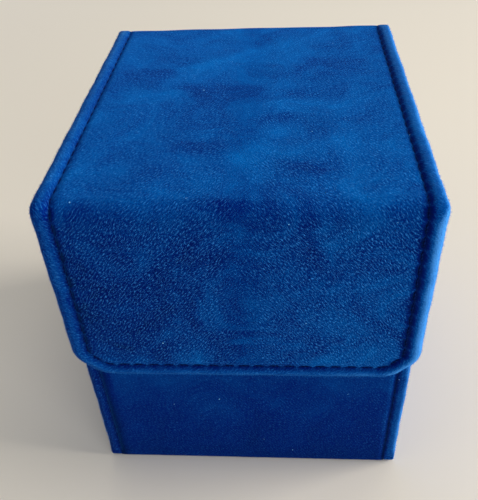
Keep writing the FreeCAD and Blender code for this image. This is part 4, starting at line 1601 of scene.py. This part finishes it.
    def lining(self) -> Surface:
        """Lining sheet from under the flap's low roll to the lid's back, tucked up into the seam all round.

        The outline is the seam moved out by the tuck. A point rises into the seam by the tuck's height times
        the square of how far it has come through the tuck's width, measured from the nearest edge.

        Returns:
            The closed sheet.
        """
        section = self.lining_section()
        right = self.seam_side()
        inward = np.stack((-right.headings[:, 1], right.headings[:, 0]), 1)
        outline = right.points - self.tuck * inward
        flap = np.stack((outline[:, 0], self.end + self.tuck - outline[:, 1]), 1)
        flap = flap[right.points[:, 1] > self.fold_end][::-1]
        lid = section.line.along[section.line.along > flap[-1, 1] + self.row_gap]
        side = self.seam + self.tuck
        half = np.concatenate((flap, np.stack((np.full(len(lid), side), lid), 1)))
        inset = self.tuck_width * np.linspace(0, 1, self.tuck_steps)
        share = np.linspace(-1, 1, self.lining_columns)[1:-1]
        x = np.concatenate((inset - half[:, :1], (half[:, :1] - self.tuck_width) * share,
                            half[:, :1] - inset[::-1]), axis=1)
        s = np.repeat(half[:, 1:], x.shape[1], axis=1)
        clipped = (side - np.abs(x) + s - self.leg - self.tuck * (2 - math.sqrt(2))) / math.sqrt(2)
        room = np.minimum(np.minimum(side - np.abs(x), s), clipped)
        rise = self.tuck_up * (1 - room / self.tuck_width).clip(0, 1) ** 2
        surface = Surface.tiles(section.place(x, s, -rise), np.stack((x, s), -1))
        return surface.thickened(self.lining_thickness).outward()

    def hang_folded(self, piece: bpy.types.Object, slot: Slot, *nodes: str) -> None:
        """Bake a piece's place into its mesh, and tie it to the frame."""
        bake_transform(piece)
        hang(piece, slot, None, *nodes)

    def build(self) -> None:
        """Make, dress and hang every piece of the lid and the flap."""
        cover = self.sheet(self.skin, self.thickness, True).as_object("lid_suede", self.finishes.suede)
        self.hang_folded(cover, Slot.SUEDE, "top_cover", "fold_cover", "flap_cover")
        wide, length = 2 * self.seam, self.end - self.start

        edge = self.rolled_edge()
        fuzz = self.fuzz.grow(edge, self.shows).as_object("lid_fuzz", self.finishes.edge)
        self.hang_folded(fuzz, Slot.SUEDE)
        roll = edge.as_object("lid_rolled_edge", self.finishes.edge)
        self.hang_folded(roll, Slot.SUEDE, "top_left_piping", "top_right_piping", "fold_left_piping",
                         "fold_right_piping", "flap_piping")

        for name, depth, face in (("lid_stitches", self.stitch_depth, 1),
                                  ("lining_stitches", self.fold - self.lining_stitch_depth, -1)):
            row = self.stitches(depth, face).as_object(name, self.finishes.thread)
            self.hang_folded(row, Slot.THREAD)

        cloth = self.lining().as_object("lid_cloth", self.finishes.lining)
        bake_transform(cloth)
        hang(cloth, Slot.LINING, None, "top_lining", "flap_lining")
        wide, length = 2 * (self.seam + self.tuck), self.lining_section().line.length


@dataclass
class Core:
    """Boards and magnets inside the walls, which keep the shapes of the frame."""

    finishes: Finishes

    def build(self) -> None:
        """Dress every board and magnet of the frame."""
        for name, node in frame["nodes"].items():
            for ending, finish in (("_board", self.finishes.board), ("_magnet", self.finishes.magnet)):
                if name.endswith(ending):
                    for slot in node.material_slots:
                        slot.material = finish
                    LOG.info("%s: %s", name, finish.name)


def hang(piece: bpy.types.Object, slot: Slot, body: Body | None, *nodes: str) -> None:
    """Tie a piece to the frame and report it.

    Args:
        piece: The finished piece.
        slot: Material slot of the record; not used.
        body: Body that it rides on, or None to leave it unattached.
        *nodes: Nodes of the frame that it stands for.
    """
    if body is not None:
        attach(piece, body.value)
    if nodes:
        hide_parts(*nodes)
    LOG.info("%s: %d faces, for %s", piece.name, len(piece.data.polygons), ", ".join(nodes) or "no node")


@dataclass(frozen=True)
class Lamp:
    """A soft square lamp that points at the box."""

    name: str
    place: tuple[float, float, float]
    size: float
    power: float
    colour: str = "#FFFFFF"

    def build(self, target: Vector) -> None:
        """Hang the lamp and turn it to a point.

        Args:
            target: The point that it lights.
        """
        light = bpy.data.lights.new(self.name, "AREA")
        light.shape, light.size, light.energy = "SQUARE", self.size, self.power
        light.color = linear(self.colour)[:3]
        lamp = bpy.data.objects.new(self.name, light)
        bpy.context.scene.collection.objects.link(lamp)
        lamp.location = self.place
        lamp.rotation_euler = (target - lamp.location).to_track_quat("-Z", "Y").to_euler()


@dataclass
class Studio:
    """Pale floor, soft lamps and the camera."""

    floor_colour: str = "#EDE6D8"
    floor_half: float = 3.0
    floor_rows: int = 9
    floor_gap: float = 0.05 * MM
    floor_relief: float = 0.1 * MM
    backdrop: str = "#E4DED3"
    fade: tuple[float, float] = (0.16, 0.9)
    grit: float = 1.8 * MM
    world_colour: str = "#DCE8FF"
    world_strength: float = 0.2
    camera_place: tuple[float, float, float] = (10.36 * MM, -162.02 * MM, 180.05 * MM)
    elevation: float = 39.69
    azimuth: float = -5.19
    roll: float = -3.31
    lens: float = 45.78
    sensor: float = 36.0
    clip: tuple[float, float] = (0.005, 20.0)
    aim: tuple[float, float, float] = (0.0, 0.0, 0.05)
    lamps: tuple[Lamp, ...] = (
        Lamp("window_right", (2.2, 0.23, 0.62), 1.2, 80.0, "#FFF9F0"),
        Lamp("window_front", (0.45, -0.85, 0.4), 0.8, 4.0, "#F6F9FF"),
        Lamp("overhead", (0.05, 0.2, 0.9), 0.7, 2.5, "#FFF8EA"),
        Lamp("fill_left", (-0.9, -0.3, 0.6), 0.8, 0.9, "#FFFFFF"),
    )

    def build(self) -> None:
        """Set the floor, the world, the lamps and the camera."""
        self.lay_floor()
        world = bpy.data.worlds.new("studio")
        world.use_nodes = True
        tree = world.node_tree
        tree.nodes.clear()
        sky = add_node(tree, "Background", {"Color": linear(self.world_colour),
                                            "Strength": self.world_strength})
        backdrop = add_node(tree, "Background", {"Color": linear(self.backdrop)})
        shown = add_node(tree, "MixShader", {0: self.seen(tree), 1: sky.outputs[0], 2: backdrop.outputs[0]})
        add_node(tree, "OutputWorld", {"Surface": shown.outputs[0]})
        bpy.context.scene.world = world
        for lamp in self.lamps:
            lamp.build(Vector(self.aim))
        self.set_camera()
        bpy.context.scene.view_settings.view_transform = "Standard"

    def seen(self, tree: bpy.types.NodeTree) -> bpy.types.NodeSocket:
        """Tell rays that show the background from rays that light the box.

        Args:
            tree: Node tree of the world or of the floor.

        Returns:
            1 for camera, glossy and transmission rays, and 0 for others.
        """
        rays = add_node(tree, "LightPath").outputs
        through = add_node(tree, "Math", {0: rays["Is Glossy Ray"], 1: rays["Is Transmission Ray"]},
                           operation="MAXIMUM").outputs[0]
        return add_node(tree, "Math", {0: rays["Is Camera Ray"], 1: through}, operation="MAXIMUM").outputs[0]

    def lay_floor(self) -> None:
        """Lay a flat floor just under the box: matt paint with a faint grit that fades into the backdrop."""
        half = np.linspace(-self.floor_half, self.floor_half, self.floor_rows)
        x, y = np.meshgrid(half, half)
        grid = np.stack((x, -y, np.full_like(x, -self.floor_gap)), -1)
        material, tree = new_material("matt_painted_floor")
        place = add_node(tree, "TexCoord").outputs["Object"]
        grit = add_node(tree, "TexNoise", {"Vector": place, "Scale": 1 / self.grit, "Detail": 3.0}).outputs[0]
        bump = add_node(tree, "Bump", {"Strength": 0.1, "Distance": self.floor_relief,
                                       "Height": grit}).outputs[0]
        face = add_node(tree, "BsdfPrincipled", {"Base Color": linear(self.floor_colour), "Roughness": 0.9,
                                                 "Specular IOR Level": 0.2, "Normal": bump})
        away = add_node(tree, "VectorMath", {0: place}, operation="LENGTH").outputs["Value"]
        fade = add_node(tree, "MapRange", {"Value": away, "From Min": self.fade[0], "From Max": self.fade[1]},
                        interpolation_type="SMOOTHSTEP").outputs[0]
        share = add_node(tree, "Math", {0: fade, 1: self.seen(tree)}, operation="MULTIPLY").outputs[0]
        far = add_node(tree, "Emission", {"Color": linear(self.backdrop)})
        shown = add_node(tree, "MixShader", {0: share, 1: face.outputs[0], 2: far.outputs[0]})
        add_node(tree, "OutputMaterial", {"Surface": shown.outputs[0]})
        Surface.tiles(grid, grid[..., :2]).as_object("floor", material)

    def set_camera(self) -> None:
        """Put the camera where the photograph was taken from: heading, then elevation, then roll."""
        up, across, tilt = (math.radians(angle) for angle in (self.elevation, self.azimuth, self.roll))
        forward = Vector((math.cos(up) * math.sin(across), math.cos(up) * math.cos(across), -math.sin(up)))
        level = Vector((math.cos(across), -math.sin(across), 0))
        above = level.cross(forward)
        right = math.cos(tilt) * level + math.sin(tilt) * above
        top = math.cos(tilt) * above - math.sin(tilt) * level
        camera = bpy.data.objects.new("camera", bpy.data.cameras.new("camera"))
        camera.data.lens, camera.data.sensor_width = self.lens, self.sensor
        camera.data.clip_start, camera.data.clip_end = self.clip
        bpy.context.scene.collection.objects.link(camera)
        turn = Matrix((right, top, -forward)).transposed().to_4x4()
        camera.matrix_world = Matrix.Translation(self.camera_place) @ turn
        bpy.context.scene.camera = camera


def main() -> None:
    """Build the finishes, the case, the lid, the core and the studio."""
    logging.basicConfig(level=logging.INFO, format="%(name)s %(message)s")
    finishes = Finishes.made()
    for part in (Case(finishes), Lid(finishes), Core(finishes), Studio()):
        part.build()


if __name__ == "__main__":
    main()
